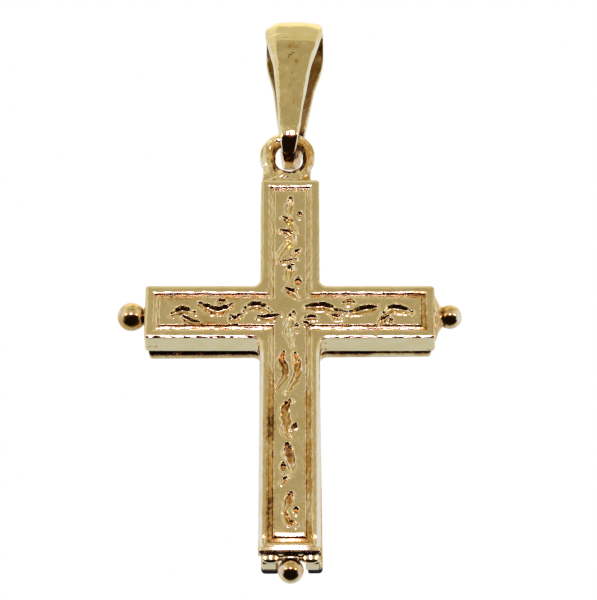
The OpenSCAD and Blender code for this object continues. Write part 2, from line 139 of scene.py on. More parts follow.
def add_piece(name, points, quads, origin, material, body, ends=(), flip=False, marks=None):
    """One mesh piece from its points in millimetres, its quads and the loops of its flat ends."""
    world = (np.asarray(points, float).reshape(-1, 3) + origin) * MM
    quads = quads[:, ::-1] if flip else quads
    loops = [np.asarray(e)[::-1] if flip else np.asarray(e) for e in ends]
    index = np.concatenate([quads.ravel()] + loops)
    sizes = np.concatenate([np.full(len(quads), 4), [len(e) for e in loops]]).astype(int)
    mesh = bpy.data.meshes.new(name)
    mesh.vertices.add(len(world))
    mesh.vertices.foreach_set("co", world.ravel())
    mesh.loops.add(len(index))
    mesh.loops.foreach_set("vertex_index", index)
    mesh.polygons.add(len(sizes))
    mesh.polygons.foreach_set("loop_start", np.concatenate([[0], np.cumsum(sizes)[:-1]]))
    mesh.polygons.foreach_set("use_smooth", sizes == 4)
    mesh.update(calc_edges=True)
    for mark, values in (marks or {}).items():
        layer = mesh.attributes.new(mark, "FLOAT", "POINT")
        layer.data.foreach_set("value", np.asarray(values, float).ravel())
    mesh.materials.append(material)
    piece = bpy.data.objects.new(name, mesh)
    bpy.context.scene.collection.objects.link(piece)
    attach(piece, body)
    return piece


# Outlines of the cross

CORNER_STEPS = 8
# How many points lie between the corners on each of the twelve sides, from the right arm's end round.
SIDE_POINTS = (38, 74, 82, 38, 82, 74, 38, 74, 148, 38, 148, 74)
# Which of these sides is the foot's.
FOOT_SIDE = 9


def cross_outline(side, head, foot, half, outer, inner, notch=None):
    """A Latin cross with rounded corners, anticlockwise from the right arm's lower corner, as points
    in x and z: a quarter circle at each corner and straight lines between. Every call has the same
    number of points, so outlines can be swept. A notch bends the foot's side up round a circle,
    given by its middle and radius."""
    corners = np.array([
        [side, -half], [side, half], [half, half], [half, head], [-half, head], [-half, half],
        [-side, half], [-side, -half], [-half, -half], [-half, -foot], [half, -foot], [half, -half]])
    arriving = corners - np.roll(corners, 1, 0)
    arriving /= np.linalg.norm(arriving, axis=1)[:, None]
    leaving = np.roll(arriving, -1, 0)
    radius = np.where(np.arange(12) % 3 == 2, inner, outer)[:, None, None]
    turn = np.linspace(0, math.pi / 2, CORNER_STEPS + 1)[None, :, None]
    arcs = corners[:, None] + radius * (
        arriving[:, None] * (np.sin(turn) - 1) + leaving[:, None] * (1 - np.cos(turn)))
    pieces = []
    for i, count in enumerate(SIDE_POINTS):
        start, end = arcs[i, -1], arcs[(i + 1) % 12, 0]
        t = np.linspace(0, 1, count + 2)[1:-1, None]
        line = start + (end - start) * t
        if i == FOOT_SIDE and notch is not None:
            line = notch_line(start, end, t[:, 0], *notch)
        pieces += [arcs[i], line]
    return np.concatenate(pieces)


def notch_line(start, end, t, middle_x, middle_z, radius):
    """The foot's side with a notch: along the foot, up one side, over a half circle and back."""
    angle = np.linspace(math.pi, 0, 25)
    left, right, chamfer = middle_x - radius, middle_x + radius, 0.06
    path = np.concatenate([
        [start, [left - chamfer, start[1]], [left, start[1] + chamfer]],
        np.stack([middle_x + radius * np.cos(angle), middle_z + radius * np.sin(angle)], 1),
        [[right, end[1] + chamfer], [right + chamfer, end[1]], end]])
    along = np.concatenate([[0], np.cumsum(np.linalg.norm(np.diff(path, axis=0), axis=1))])
    at = t * along[-1]
    return np.stack([np.interp(at, along, path[:, 0]), np.interp(at, along, path[:, 1])], 1)


def case_outline(inset, outer=None, inner=None):
    """The case's outline moved inwards, with its corners rounded by outer and inner if given."""
    return cross_outline(
        ARM - inset, HEAD - inset, FOOT - inset, HALF_BAR - inset,
        max(CORNER_ROUND - inset, SHARPEST) if outer is None else outer,
        CROSSING_FILLET + inset if inner is None else inner)


def cavity_outline(inset):
    """The outline of the relic's space moved inwards, which at the foot keeps clear of the hinge."""
    return cross_outline(
        ARM - WALL_THICK - inset, HEAD - WALL_THICK - inset, CAVITY_FOOT - 3 * inset,
        HALF_BAR - WALL_THICK - inset, 0.15, 0.5 + inset)


def cover_outline(inset, grow=0.0):
    """The cover's outline moved inwards, with a notch round the middle knuckle, turned a little."""
    flat = cross_outline(
        ARM - END_INSET - inset, HEAD - END_INSET - inset, COVER_FOOT - inset,
        HALF_BAR - SIDE_INSET - inset, max(CORNER_ROUND - inset, SHARPEST),
        CROSSING_FILLET + SIDE_INSET + inset, notch=(HINGE[0], HINGE[2] + 0.15, 1.2 + grow))
    return turn_about(flat, 0, 1, COVER_TURN)


def level(outline, depth):
    """An outline laid at one depth behind the front face."""
    return np.stack([outline[:, 0], np.broadcast_to(depth, len(outline)), outline[:, 1]], 1)


# Materials

def linear(code):
    """An sRGB hex colour as the linear colour that a shader takes."""
    value = [int(code[i:i + 2], 16) / 255 for i in (1, 3, 5)]
    return [c / 12.92 if c <= 0.04045 else ((c + 0.055) / 1.055) ** 2.4 for c in value] + [1.0]


def add_node(tree, kind, inputs=(), **settings):
    """Adds a node and sets its properties. Each input, by name or number, is set to a number or a
    colour, or linked to a socket or to another node's first output."""
    node = tree.nodes.new("ShaderNode" + kind)
    for key, value in settings.items():
        setattr(node, key, value)
    for key, value in dict(inputs).items():
        if isinstance(value, bpy.types.Node):
            value = value.outputs[0]
        if isinstance(value, bpy.types.NodeSocket):
            tree.links.new(value, node.inputs[key])
        else:
            node.inputs[key].default_value = value
    return node


def fade(tree, value, low, high, before, after):
    """The colour before, which turns smoothly into the colour after as value goes from low to high."""
    share = add_node(tree, "MapRange", {0: value, 1: low, 2: high}, interpolation_type="SMOOTHSTEP")
    return add_node(tree, "Mix", {0: share, 6: before, 7: after}, data_type="RGBA").outputs[2]


# The sizes of the gold's patterns in millimetres. The scratches are drawn coarser than real ones.
CLOUD, SPECK, RICH_PATCH, BUFFING = 2.381, 0.3125, 1.4286, 0.66667
DIMPLE, SCRATCH, PIT_SPACING = 1.1111, 0.11111, 1.1111


def gold(name, colour, deep, roughness, grain=0.3, waves=0.25, pits=0.2):
    """Cast and burnished yellow gold of 14 carats. The colour is the clean metal, and deep is the brown
    tarnish left in hollows and channels, which the mesh marks as grime_and_shade; that mark also
    carries painted shade in places, drawn in the same tarnish colours. Unpolished places are marked
    as matte. Grain is the strength of the fine scratches, waves of the soft hammering and pits of the
    casting flaws."""
    material = bpy.data.materials.new(name)
    material.use_nodes = True
    tree = material.node_tree
    tree.nodes.clear()
    place = add_node(tree, "TexCoord").outputs["Object"]
    grime_and_shade = add_node(tree, "Attribute", attribute_name="grime_and_shade").outputs["Fac"]
    matte = add_node(tree, "Attribute", attribute_name="matte").outputs["Fac"]

    # Soft noises, whose lumps are about as wide as their size.
    clouds, specks, patches, buffing, dimples = (
        add_node(tree, "TexNoise", {"Vector": place, "Scale": 1 / (size * MM), "Detail": detail})
        for size, detail in ((CLOUD, 2.0), (SPECK, 2.0), (RICH_PATCH, 2.0), (BUFFING, 3.0), (DIMPLE, 1.5)))

    # Tarnish and painted shade: the marked places, broken up by clouds and specks.
    clouds = add_node(tree, "MapRange", {0: clouds, 1: 0.28, 2: 0.72, 4: 0.62},
                      interpolation_type="SMOOTHSTEP")
    specks = add_node(tree, "MapRange", {0: specks, 1: 0.35, 2: 0.6, 4: 0.35},
                      interpolation_type="SMOOTHSTEP")
    patchy = add_node(tree, "Math", {0: clouds, 1: specks}, operation="ADD")
    patchy = add_node(tree, "Math", {0: grime_and_shade, 1: 0.45, 2: patchy}, operation="MULTIPLY_ADD")
    tarnish_and_shade = add_node(tree, "Math", {0: grime_and_shade, 1: patchy}, operation="MULTIPLY")
    tarnish_and_shade = add_node(tree, "MapRange", {0: tarnish_and_shade, 1: 0.05, 2: 1.0}, interpolation_type="SMOOTHSTEP")
    clean = linear(colour)
    rich = [c * share for c, share in zip(clean, (0.97, 0.93, 0.84, 1.0))]
    shade = fade(tree, patches, 0.4, 0.7, clean, rich)
    for low, high, tint in ((0.0, 0.28, "#d4a350"), (0.26, 0.82, "#85502a"), (0.74, 1.0, deep)):
        shade = fade(tree, tarnish_and_shade, low, high, shade, linear(tint))

    # Roughness: uneven from the buffing, and more where the tarnish and painted shade lie and where it was
    # never polished.
    rough = add_node(tree, "MapRange", {
        0: buffing, 1: 0.3, 2: 0.7, 3: roughness * 0.8, 4: roughness * 1.3})
    rough = add_node(tree, "Math", {0: tarnish_and_shade, 1: 0.25, 2: rough}, operation="MULTIPLY_ADD")
    rough = add_node(tree, "Math", {0: matte, 1: 0.32, 2: rough}, operation="MULTIPLY_ADD")

    # Relief: soft dimples, polishing scratches along the bars, and scattered pits.
    stretched = add_node(tree, "Mapping", {
        "Vector": place, "Scale": (1.0, 1.0, 0.1), "Rotation": (0.0, 0.35, 0.0)})
    scratches = add_node(tree, "TexNoise", {
        "Vector": stretched, "Scale": 1 / (SCRATCH * MM), "Detail": 2.0})
    spots = add_node(tree, "TexVoronoi", {"Vector": place, "Scale": 1 / (PIT_SPACING * MM)})
    pit = add_node(tree, "MapRange", {0: spots, 1: 0.0, 2: 0.16, 3: -1.0, 4: 0.0})
    relief = {}
    for strength, depth, height in (
            (waves, 0.06, dimples), (grain, 0.01, scratches), (pits, 0.03, pit)):
        relief = {"Normal": add_node(tree, "Bump", {
            "Strength": strength, "Distance": depth * MM, "Height": height, **relief})}
    shader = add_node(tree, "BsdfPrincipled", {
        "Base Color": shade, "Metallic": 1.0, "Roughness": rough, **relief})
    add_node(tree, "OutputMaterial", {"Surface": shader})
    return material


# The case is cast gold burnished by wear: bright and soft on the flats, brown in the relief.
CASE_GOLD = gold("burnished_cast_gold", "#edd59b", "#3c1a12", 0.13, 0.14, 0.18, 0.08)
# The cover is plainer and less handled, so it is a little duller and more scratched.
COVER_GOLD = gold("burnished_cover_gold", "#ead39a", "#2c1408", 0.15)
# The bail is polished by its chain, almost a mirror.
BAIL_GOLD = gold("polished_bail_gold", "#ecd392", "#3a2009", 0.09, 0.15, 0.12, 0.1)
# The pin is drawn wire, dull and dark inside its knuckles.
PIN_GOLD = gold("dull_pin_gold", "#c9a766", "#3c2410", 0.3)


# The case's frame: walls, edges, band and channel

# How far in from the case's outline the worn edge starts.
FACET_START = 0.036
# The front of the frame, from the wall to under the panel, in four stretches: the worn edge, which is
# a gentle facet, the level band, the rim that rounds over into the channel, and the channel's
# steep wall and its floor, deepest beside the band. Each has how far its level wavers, and rows of
# inset, depth and grime.
FRAME_SECTION = (
    (0.6, ((FACET_START, 0.2, 0.1), (0.04, 0.155, 0.1), (0.055, 0.125, 0.05), (0.08, 0.105, 0.0),
           (0.115, 0.092, 0.0), (0.16, 0.079, 0.0), (0.21, 0.064, 0.0), (0.28, 0.043, 0.0),
           (0.34, 0.025, 0.1), (0.39, 0.011, 0.3), (0.43, 0.004, 0.4), (0.46, 0.002, 0.3))),
    (0.5, ((0.57, 0.0, 0.2), (0.60, 0.001, 0.3))),
    (0.9, ((0.63, 0.005, 0.3), (0.66, 0.012, 0.4), (0.70, 0.023, 0.5), (0.735, 0.034, 0.55),
           (0.765, 0.046, 0.6), (0.785, 0.062, 0.5), (0.80, 0.09, 0.6))),
    (1.2, ((0.81, 0.13, 0.65), (0.825, 0.17, 0.65), (0.845, 0.190, 0.65), (0.87, 0.194, 0.65),
           (0.90, 0.189, 0.65), (0.95, 0.174, 0.62), (1.00, 0.160, 0.6), (1.05, 0.145, 0.6),
           (1.10, 0.130, 0.6), (1.13, 0.123, 0.6), (1.16, 0.13, 0.8), (1.20, 0.17, 1.0),
           (1.32, 0.26, 1.0))))
# The insets that part the worn edge from the band and the rim from the channel.
BAND_START, CHANNEL_FLOOR = 0.5, 0.82
# How much deeper each bead at the head makes the section, as inset and depth.
BEAD_SECTION = ((0.6, 0), (0.7, 0.01), (0.845, 0), (0.90, 0.024), (0.95, 0.054), (1.0, 0.05), (1.1, 0))


def channel_wander(at):
    """How far the channel's edges stray from the straight, the same for the frame and the panel."""
    return ripples(at, (0.022, 1.6, 3), (0.014, 0.45, 4))


def edge_shape(x, z):
    """How wide and how steep the worn facet is on the frame's front edge: narrow and steep under the
    arms, steep down the lower shaft's sides, and wide at the foot."""
    arm = smooth((np.abs(x) - 2.5) / 0.8)
    under = arm * smooth(-z / 0.6)
    low = smooth((-z - 2.8) / 1.5)
    foot = smooth((-z - FOOT + 0.75) / 0.5)

    def by_place(elsewhere, under_arms, low_shaft, at_foot):
        """The value that holds at each place, blended where two places meet."""
        return mix(mix(mix(elsewhere, under_arms, under), low_shaft, low), at_foot, foot)

    dashes = ripple(np.stack([x, 0.3 * z], -1), 1.3, 18) + 0.5 * ripple(np.stack([x, z], -1), 0.5, 19)
    steep_under = 1.14 - 0.08 * np.sign(x) + 0.27 * dashes
    return by_place(0.75, 0.55, 0.9, 1.3), by_place(1.0, steep_under, 2.2, 0.88)


def tarnish_spread(x, z):
    """How much tarnish is left in the channels: little on the upper shaft, some on the arms, most low on
    the shaft, in blotches, and at the right arm's end."""
    arms = 0.55 + 0.5 * smooth((x - 10) / 1.0)
    blotches = 0.84 + ripples(np.stack([x, z], -1), (0.25, 3.5, 17), (0.1, 1.1, 16), (0.16, 0.45, 24))
    upper = 0.2
    lower = 0.38 + smooth((-z - 4) / 6) * (0.48 - 0.14 * np.sign(x)) * blotches
    up = mix(arms, upper, smooth((z - 2.0) / 0.8))
    down = mix(arms, lower, smooth((-z - 2.0) / 0.8))
    return np.where(np.abs(x) > HALF_BAR, arms, np.where(z > 0, up, down))


def head_beads(x, z):
    """The worn beads along the channel at the head: where they are, from 0 to 1, and there a wave along x
    of 13 radians a millimetre, a bead each 0.48 mm, whose spacing drifts."""
    there = smooth((z - HEAD + 1.7) / 0.2)
    return there, there * np.sin(13.0 * x + 0.8 * np.sin(3.1 * x))


def front_row(inset, depth, waver):
    """One row of the frame's front. The outline at this inset moves in and out with the worn facet's
    width and the channel's wander. The depth is scaled by the facet's steepness, and the dips, the
    beads at the head and the foot's bow, which grows with x squared, are added to it."""
    crisp = smooth((inset - 0.45) / 0.3)
    outer = mix(max(CORNER_ROUND - inset, SHARPEST), 0.05, crisp)
    inner = mix(CROSSING_FILLET + inset, 0.08, crisp)
    outline = case_outline(inset, outer, inner)
    inward = (case_outline(inset + 0.05, outer, inner) - outline) / 0.05
    x, z = outline.T
    on_edge = inset < BAND_START
    wide, steep = edge_shape(x, z) if on_edge else (1.0, 1.0)
    calm = 1 - 0.95 * smooth((-z - FOOT + 1.5) / 0.5)
    foot = smooth((-z - FOOT + 1.6) / 0.6)
    wander = calm * waver * channel_wander(outline) * (0.4 if on_edge else 1.0)
    shift = (inset - FACET_START) * (wide - 1) + wander
    place = np.column_stack([outline, np.full(len(outline), inset * 4)])
    dip = calm * waver * ripples(place, (0.008, 1.0, 5), (0.007, 0.55, 6)) * np.minimum(wide, 1)
    beads = 0.5 * sum(head_beads(x, z)) * np.interp(inset, *zip(*BEAD_SECTION))
    if inset > CHANNEL_FLOOR:
        steep = mix(1.0, 0.87, foot)
    bow = (0.024 if inset < 0.6 else 0.038) * x ** 2 * foot
    return outline + inward * shift[:, None], depth * wide * steep + dip + beads + bow


def build_case_frame():
    """Sweeps the case's section round the cross: up the cavity's wall, over the back edge, down
    the outer wall, round the front edge, across the band and through the channel."""
    rows, grime_and_shade = [], []

    def add(outline, depth, dirt_and_shade, clamp=False):
        """One row of the sweep; a clamped row stops above the hinge's recess."""
        ring = level(outline, depth)
        if clamp:
            ring[:, 2] = np.maximum(ring[:, 2], RECESS_TOP)
        rows.append(ring)
        grime_and_shade.append(np.broadcast_to(dirt_and_shade, len(ring)))

    add(cavity_outline(0.0), PLATE_THICK - 0.02, 0.8)
    add(cavity_outline(0.0), CASE_DEPTH - 0.08, 0.6)
    add(cavity_outline(-0.02), CASE_DEPTH - 0.03, 0.5)
    add(cavity_outline(-0.06), CASE_DEPTH, 0.4)
    add(case_outline(0.1), CASE_DEPTH, 0.5, True)
    add(case_outline(0.03), CASE_DEPTH - 0.03, 0.4, True)

    # The outer wall is crumpled where it is worn: at the arms' ends and beside the crossing.
    plain = case_outline(0.03)
    inwards = (case_outline(0.08) - plain) / 0.05
    reach = np.abs(plain[:, 0])
    worn = np.maximum(smooth((reach - 10.6) / 0.8), smooth((3.4 - reach) / 0.5) * (reach > HALF_BAR))
    worn *= (np.abs(plain[:, 1]) < HALF_BAR + 0.1) * smooth((ARM - 0.2 - reach) / 0.15)

    def add_wall(inset, depth, dirt_and_shade, clamp):
        """One row of the outer wall, moved in where it is crumpled and stained in blots."""
        place = np.column_stack([plain * 1.5, depth * 2.0 + np.zeros(len(plain))])
        crumple = np.clip(0.03 + 0.04 * ripple(place, 1.4, 8, 16), 0, 1) * (0.1 + worn)
        uneven = ripple(place, 2.4, 9, 16) + 0.5 * ripple(place, 0.8, 10, 16)
        blots = 0.7 * smooth((uneven + 0.7 * worn - 1.35) / 0.5)
        add(case_outline(inset) + inwards * crumple[:, None], depth, dirt_and_shade + blots, clamp)

    for depth in (2.26, 2.13, 2.0, 1.85, 1.7, 1.55, 1.4, 1.25, 1.1, 1.0, 0.9, RECESS_FRONT + 0.001):
        add_wall(WALL_DRAFT * (1 - depth / CASE_DEPTH), depth, 0.08, True)
    wide, steep = edge_shape(*plain.T)
    for t in (0, 0.25, 0.5, 0.75, 1):
        depth = mix(RECESS_FRONT, 0.21 * wide * steep + 0.02, t)
        stains_and_foot_shadow = 0.04 + 0.5 * smooth((ripple(plain, 1.3, 7) + 0.8 * t - 1.4) / 0.5)
        # Painted shadow: on these rows the wall at the foot is darkened fully, over the stains.
        stains_and_foot_shadow = np.maximum(stains_and_foot_shadow, smooth((-plain[:, 1] - FOOT + 0.3) / 0.2))
        add_wall(0.027 + 0.005 * t, depth, stains_and_foot_shadow, False)
    for waver, stretch in FRAME_SECTION:
        for inset, depth, dirt_and_shade in stretch:
            add(*front_row(inset, depth, waver), dirt_and_shade)

    points = np.stack(rows)
    # Painted shadow: the wall under the foot, behind its front, is darkened and made matte.
    painted_foot_shadow = smooth((-points[..., 2] - FOOT + 0.1) / 0.06) * (points[..., 1] > 0.3)
    grime_and_shade = np.stack(grime_and_shade) * tarnish_spread(points[..., 0], points[..., 2])
    marks = {"grime_and_shade": np.maximum(grime_and_shade, 0.9 * painted_foot_shadow), "matte": painted_foot_shadow}
    quads = grid_quads(*points.shape[:2])
    add_piece("case_frame", points, quads, CROSS, CASE_GOLD, "case", marks=marks, flip=True)


# The panel and its vine

# How much lower, wider and deeper the strokes are carved than the table says.
STROKE_DROP, STROKE_WIDER, STROKE_DEEPER = 0.1, 1.55, 1.35
# Each stroke of the vine: half width, depth, how stained its upper half is, and the points of its
# middle line in x and z.
STROKES = [
    (0.24, 0.20, 0.1, [(0.04, 11.35), (-0.09, 10.42), (-0.13, 9.6)]),
    (0.20, 0.16, 0.1, [(-0.55, 9.45), (0.09, 8.91), (0.67, 7.81)]),
    (0.17, 0.18, 0.1, [(0.85, 9.91), (0.85, 9.4)]),
    (0.24, 0.20, 0.1, [(-0.78, 8.12), (-0.05, 7.89), (0.15, 7.27), (-0.38, 6.58), (-0.84, 5.73),
     (-1.03, 5.12)]),
    (0.19, 0.16, 0.1, [(0.15, 5.5), (0.52, 5.89), (0.81, 6.19)]),
    (0.10, 0.08, 0.1, [(-1.03, 4.89), (-0.26, 5.05), (0.67, 5.27)]),
    (0.25, 0.22, 0.25, [(0.15, 4.65), (-0.11, 3.97), (-0.18, 2.91)]),
    (0.19, 0.18, 0.4, [(0.71, 3.4), (0.65, 2.56)]),
    (0.22, 0.18, 0.1, [(-0.31, 2.3), (0.28, 1.92), (0.8, 1.39)]),
    (0.26, 0.20, 0.2, [(0.29, -0.03), (-0.02, -0.82), (-0.09, -1.77), (0.29, -3.24)]),
    (0.15, 0.14, 0.1, [(0.59, -1.12), (0.59, -1.75)]),
    (0.22, 0.20, 0.32, [(-0.51, -3.78), (-0.69, -4.45), (-0.39, -5.21), (-0.46, -6.06), (-0.75, -6.65),
     (-1.21, -7.59)]),
    (0.22, 0.20, 0.15, [(0.44, -3.93), (0.66, -4.78), (0.59, -5.79), (0.06, -6.99), (-0.31, -7.59)]),
    (0.26, 0.22, 0.25, [(0.0, -8.35), (-0.37, -9.01), (-0.27, -10.1), (-0.38, -11.02), (-0.02, -11.8)]),
    (0.16, 0.16, 0.32, [(0.5, -10.5), (0.17, -10.97)]),
    (0.28, 0.22, 0.34, [(-0.2, -12.39), (-0.05, -13.05), (0.15, -14.2), (-0.02, -15.18)]),
    (0.17, 0.18, 0.3, [(-0.49, -14.11), (-0.53, -14.84)]),
    (0.14, 0.12, 0.1, [(-0.2, -15.39), (-0.49, -15.66), (-0.74, -16.02)]),
    (0.22, 0.20, 0.32, [(0.13, -16.79), (-0.12, -17.47), (-0.37, -18.4)]),
    (0.15, 0.16, 0.32, [(0.57, -18.01), (0.53, -18.64)]),
    (0.17, 0.16, 0.25, [(-0.3, -18.48), (-0.09, -19.2), (0.28, -19.44), (0.57, -19.68)]),
    (0.24, 0.20, 0.1, [(-9.92, -0.2), (-9.04, 0.23), (-7.98, -0.06)]),
    (0.19, 0.16, 0.1, [(-8.95, -0.44), (-8.37, -0.83), (-7.59, -0.98)]),
    (0.25, 0.20, 0.1, [(-7.59, 0.83), (-6.76, 0.36), (-5.95, 0.18), (-5.22, 0.46), (-4.82, 0.83)]),
    (0.15, 0.14, 0.1, [(-6.13, 1.02), (-5.71, 1.08), (-5.28, 0.98)]),
    (0.20, 0.16, 0.1, [(-4.97, -0.29), (-4.63, -0.66), (-3.91, 0.0)]),
    (0.25, 0.20, 0.1, [(-3.74, 0.34), (-2.98, 0.69), (-2.21, 0.49), (-1.53, 0.0)]),
    (0.20, 0.16, 0.1, [(-2.63, -0.44), (-1.7, -0.49), (-0.76, -0.2)]),
    (0.25, 0.20, 0.1, [(1.36, 0.54), (2.13, 0.59), (2.98, 0.59), (3.66, 0.24), (4.76, -0.05)]),
    (0.17, 0.14, 0.1, [(3.6, -0.29), (3.95, -0.47), (4.33, -0.66)]),
    (0.17, 0.14, 0.1, [(1.27, -0.54), (1.87, -0.47), (2.38, -0.59)]),
    (0.14, 0.12, 0.1, [(1.14, -0.98), (1.53, -1.17), (1.82, -1.46)]),
    (0.18, 0.16, 0.1, [(4.51, 0.93), (5.09, 0.98), (5.57, 0.83)]),
    (0.25, 0.20, 0.1, [(5.1, -0.05), (6.04, 0.24), (6.81, 0.39), (7.4, 0.54)]),
    (0.25, 0.20, 0.1, [(7.92, -0.1), (8.74, 0.41), (9.47, 0.27), (10.28, 0.0)]),
    (0.19, 0.18, 0.1, [(8.2, -0.39), (7.62, -0.85), (7.37, -1.41)]),
    (0.14, 0.12, 0.1, [(8.4, -0.68), (8.65, -0.98)])]


def stroke_line(points, steps=110):
    """A Catmull-Rom spline through a stroke's points, as points along it and their share of the way."""
    p = np.array(points, float)
    ends = np.concatenate([[2 * p[0] - p[1]], p, [2 * p[-1] - p[-2]]])
    t = np.linspace(0, len(p) - 1 - 1e-9, steps)
    i = t.astype(int)
    f = (t - i)[:, None]
    a, b, c, d = ends[i], ends[i + 1], ends[i + 2], ends[i + 3]
    curve = (2 * a - 5 * b + 4 * c - d) * f ** 2 + (3 * b - a - 3 * c + d) * f ** 3
    line = 0.5 * (2 * b + (c - a) * f + curve)
    return line, t / (len(p) - 1)


def carve(x, z, height, grime_and_shade):
    """Carves every stroke into the panel: a hollow whose depth falls with a power of the share of its
    width, with a steep upper wall and a gentle lower one, and a raised burr round its mouth. Tarnish
    stays in the hollow, least on the upper shaft and most low on the shaft, and the hollow's upper
    half, under its upper wall, is darkened further: partly tarnish, partly painted shade."""
    for number, (half, depth, stain, points) in enumerate(STROKES):
        line, share = stroke_line(points)
        line = line - [0, STROKE_DROP]
        half, depth = half * STROKE_WIDER, depth * STROKE_DEEPER
        margin = half + 0.35
        (left, bottom), (right, top) = line.min(0) - margin, line.max(0) + margin
        near = (x > left) & (x < right) & (z > bottom) & (z < top)
        at = np.stack([x[near], z[near]], 1)
        gap = np.linalg.norm(at[:, None] - line[None], axis=2)
        nearest = gap.argmin(1)
        off = gap.min(1) + 0.04 * ripple(at, 0.7, 100 + number)
        swell = np.sin(math.pi * np.clip(share[nearest], 0.06, 0.94) ** 0.8) ** 0.55
        width = half * np.maximum(swell, 0.3)
        above = np.clip((at[:, 1] - line[nearest, 1]) / width, -1, 1)
        upper = smooth(above * 0.9 + 0.5)
        on_head = smooth((at[:, 1] - 2.2) / 0.5)
        on_arm = smooth((np.abs(at[:, 0]) - 1.2) / 0.4)
        width = width * mix(mix(1.2, mix(0.8, 0.98, on_arm), upper), mix(1.35, 0.62, upper), on_head)
        far = np.clip(np.sqrt(off ** 2 + 0.03 ** 2) / width, 0, 1)
        hollow = depth * swell * (1 - far ** mix(1.1, 1.8, upper))
        burr = 0.05 * bell((off - width - 0.06) / 0.10) * (0.75 + 0.4 * ripple(at, 0.8, 300 + number))
        height[near] += burr * (height[near] > -0.05) - hollow * (far < 1)
        low_down = 0.2 * smooth((-at[:, 1] - 2) / 2)
        stained = stain * smooth((0.7 - share[nearest]) / 0.3) * smooth((1 - far) / 0.6)
        # Painted shade with some tarnish: the hollow's upper half, under its steep upper wall, is darkened,
        # less at the head.
        lee_tarnish_and_shade = mix(0.85, 0.3, on_head) * smooth(above * 1.5 - 0.05) * (0.7 + 0.4 * ripple(at, 0.6, number))
        kept = smooth((1 - far) * 3) * (0.08 + low_down + stained + lee_tarnish_and_shade)
        grime_and_shade[near] = np.maximum(grime_and_shade[near], kept)


# How the panel's rim falls into the channel, as distance inside the panel's edge and drop.
RIM_FALL = ((-0.1, 0.28), (-0.075, 0.130), (-0.05, 0.085), (-0.02, 0.043), (0.0, 0.026), (0.02, 0.014),
            (0.05, 0.004), (0.08, 0.0))
PANEL_STEP = 0.04


def panel_places(start, end, half):
    """Places along the panel's grid: a step apart, and at each row of the rim's fall at both ends and
    on both sides of the bar that crosses there."""
    fall = np.array(RIM_FALL)[:, 0]
    sides = ((start, 1), (-half, 1), (half, -1), (end, -1))
    edges = np.concatenate([side + inwards * fall for side, inwards in sides])
    plain = np.linspace(start, end, int(round(abs(end - start) / PANEL_STEP)) + 1)
    clear = np.abs(plain[:, None] - edges[None]).min(1) > 0.3 * PANEL_STEP
    return np.sort(np.concatenate([edges, plain[clear]]))


def build_panel():
    """The front panel as a height over a fine grid of x and z: soft dimples, a slight ridge inside its
    edge, a foot that bows with x squared and bends down, the carved vine, and a rim that falls
    into the channel."""
    half, side = HALF_BAR - PANEL_INSET, ARM - PANEL_INSET
    head, foot = HEAD - PANEL_INSET, FOOT - PANEL_INSET
    z, x = np.meshgrid(panel_places(-foot, head, half), panel_places(-side, side, half), indexing="ij")
    inside_arm = np.minimum(side - np.abs(x), half - np.abs(z))
    inside_shaft = np.minimum(half - np.abs(x), np.minimum(head - z, foot + z))
    inside = np.maximum(inside_arm, inside_shaft)
    at = np.stack([x, z], -1)
    edge = inside + channel_wander(at) + 0.01 * head_beads(x, z)[1]
    height = ripples(at, (0.008, 2.2, 11), (0.004, 0.9, 12), (0.0015, 0.35, 14))
    height += 0.010 * bell((edge - 0.13) / 0.08) * (0.6 + 0.6 * ripple(at, 0.5, 13))
    height *= 1 - 0.95 * smooth((-z - foot + 0.7) / 0.4)
    height -= 0.031 * x ** 2 * smooth((-z - FOOT + 2.2) / 1.0)
    bend_slope, bend_start, bend_round = 0.25, 0.36, 0.03
    height -= bend_slope * bend_round * np.logaddexp(0, (bend_start - (foot + z)) / bend_round)
    spread = tarnish_spread(x, z)
    grime_and_shade = 0.55 * np.exp(-np.clip(inside, 0, None) / 0.2) * spread
    grime_and_shade = np.where(inside < 0, np.maximum(grime_and_shade, 0.7 * spread), grime_and_shade)
    grime_and_shade += 0.19 * smooth((-x - 2) / 2) + 0.06 * np.clip(ripple(at, 5.0, 15), 0, 1)
    carve(x, z, height, grime_and_shade)
    height -= np.interp(edge, *zip(*RIM_FALL))
    points = np.stack([x, -height, z], -1)
    cells = grid_quads(*x.shape, close_cols=False)
    keep = (inside.ravel()[cells] > RIM_FALL[0][0] - 0.001).all(1)
    used, cells = np.unique(cells[keep], return_inverse=True)
    cells = cells.reshape(-1, 4)
    add_piece("case_panel", points.reshape(-1, 3)[used], cells, CROSS, CASE_GOLD, "case",
              marks={"grime_and_shade": grime_and_shade.ravel()[used]})


def build_plate_back():
    """The plate's inner side, at the bottom of the relic's space."""
    outline = cavity_outline(-0.01)
    points = level(outline, PLATE_THICK)
    add_piece("case_plate_back", points, np.zeros((0, 4), int), CROSS, CASE_GOLD, "case",
              ends=[np.arange(len(points))], flip=True, marks={"grime_and_shade": np.full(len(points), 0.7)})


# Turned parts

def lathe(profile, sides, axis_at, along, wobble=0.0, seed=0):
    """A surface of revolution: pairs of place along the axis and radius, turned round an axis
    that runs along x or up z. Returns a grid of points, a row for each pair."""
    profile = np.asarray(profile, float)
    angle = np.linspace(0, 2 * math.pi, sides, endpoint=False)
    radius = profile[:, 1:2] + 0 * angle
    a, b = radius * np.cos(angle), radius * np.sin(angle)
    along_axis = profile[:, :1] + 0 * angle
    grid = np.stack([along_axis, a, b] if along == "x" else [b, a, along_axis], -1)
    if wobble:
        widest = profile[profile[:, 1].argmax(), 0]
        middle = np.array([widest, 0, 0] if along == "x" else [0, 0, widest])
        grid = middle + (grid - middle) * (1 + wobble * ripple(grid, 1.1, seed)[..., None])
    return grid + np.asarray(axis_at)


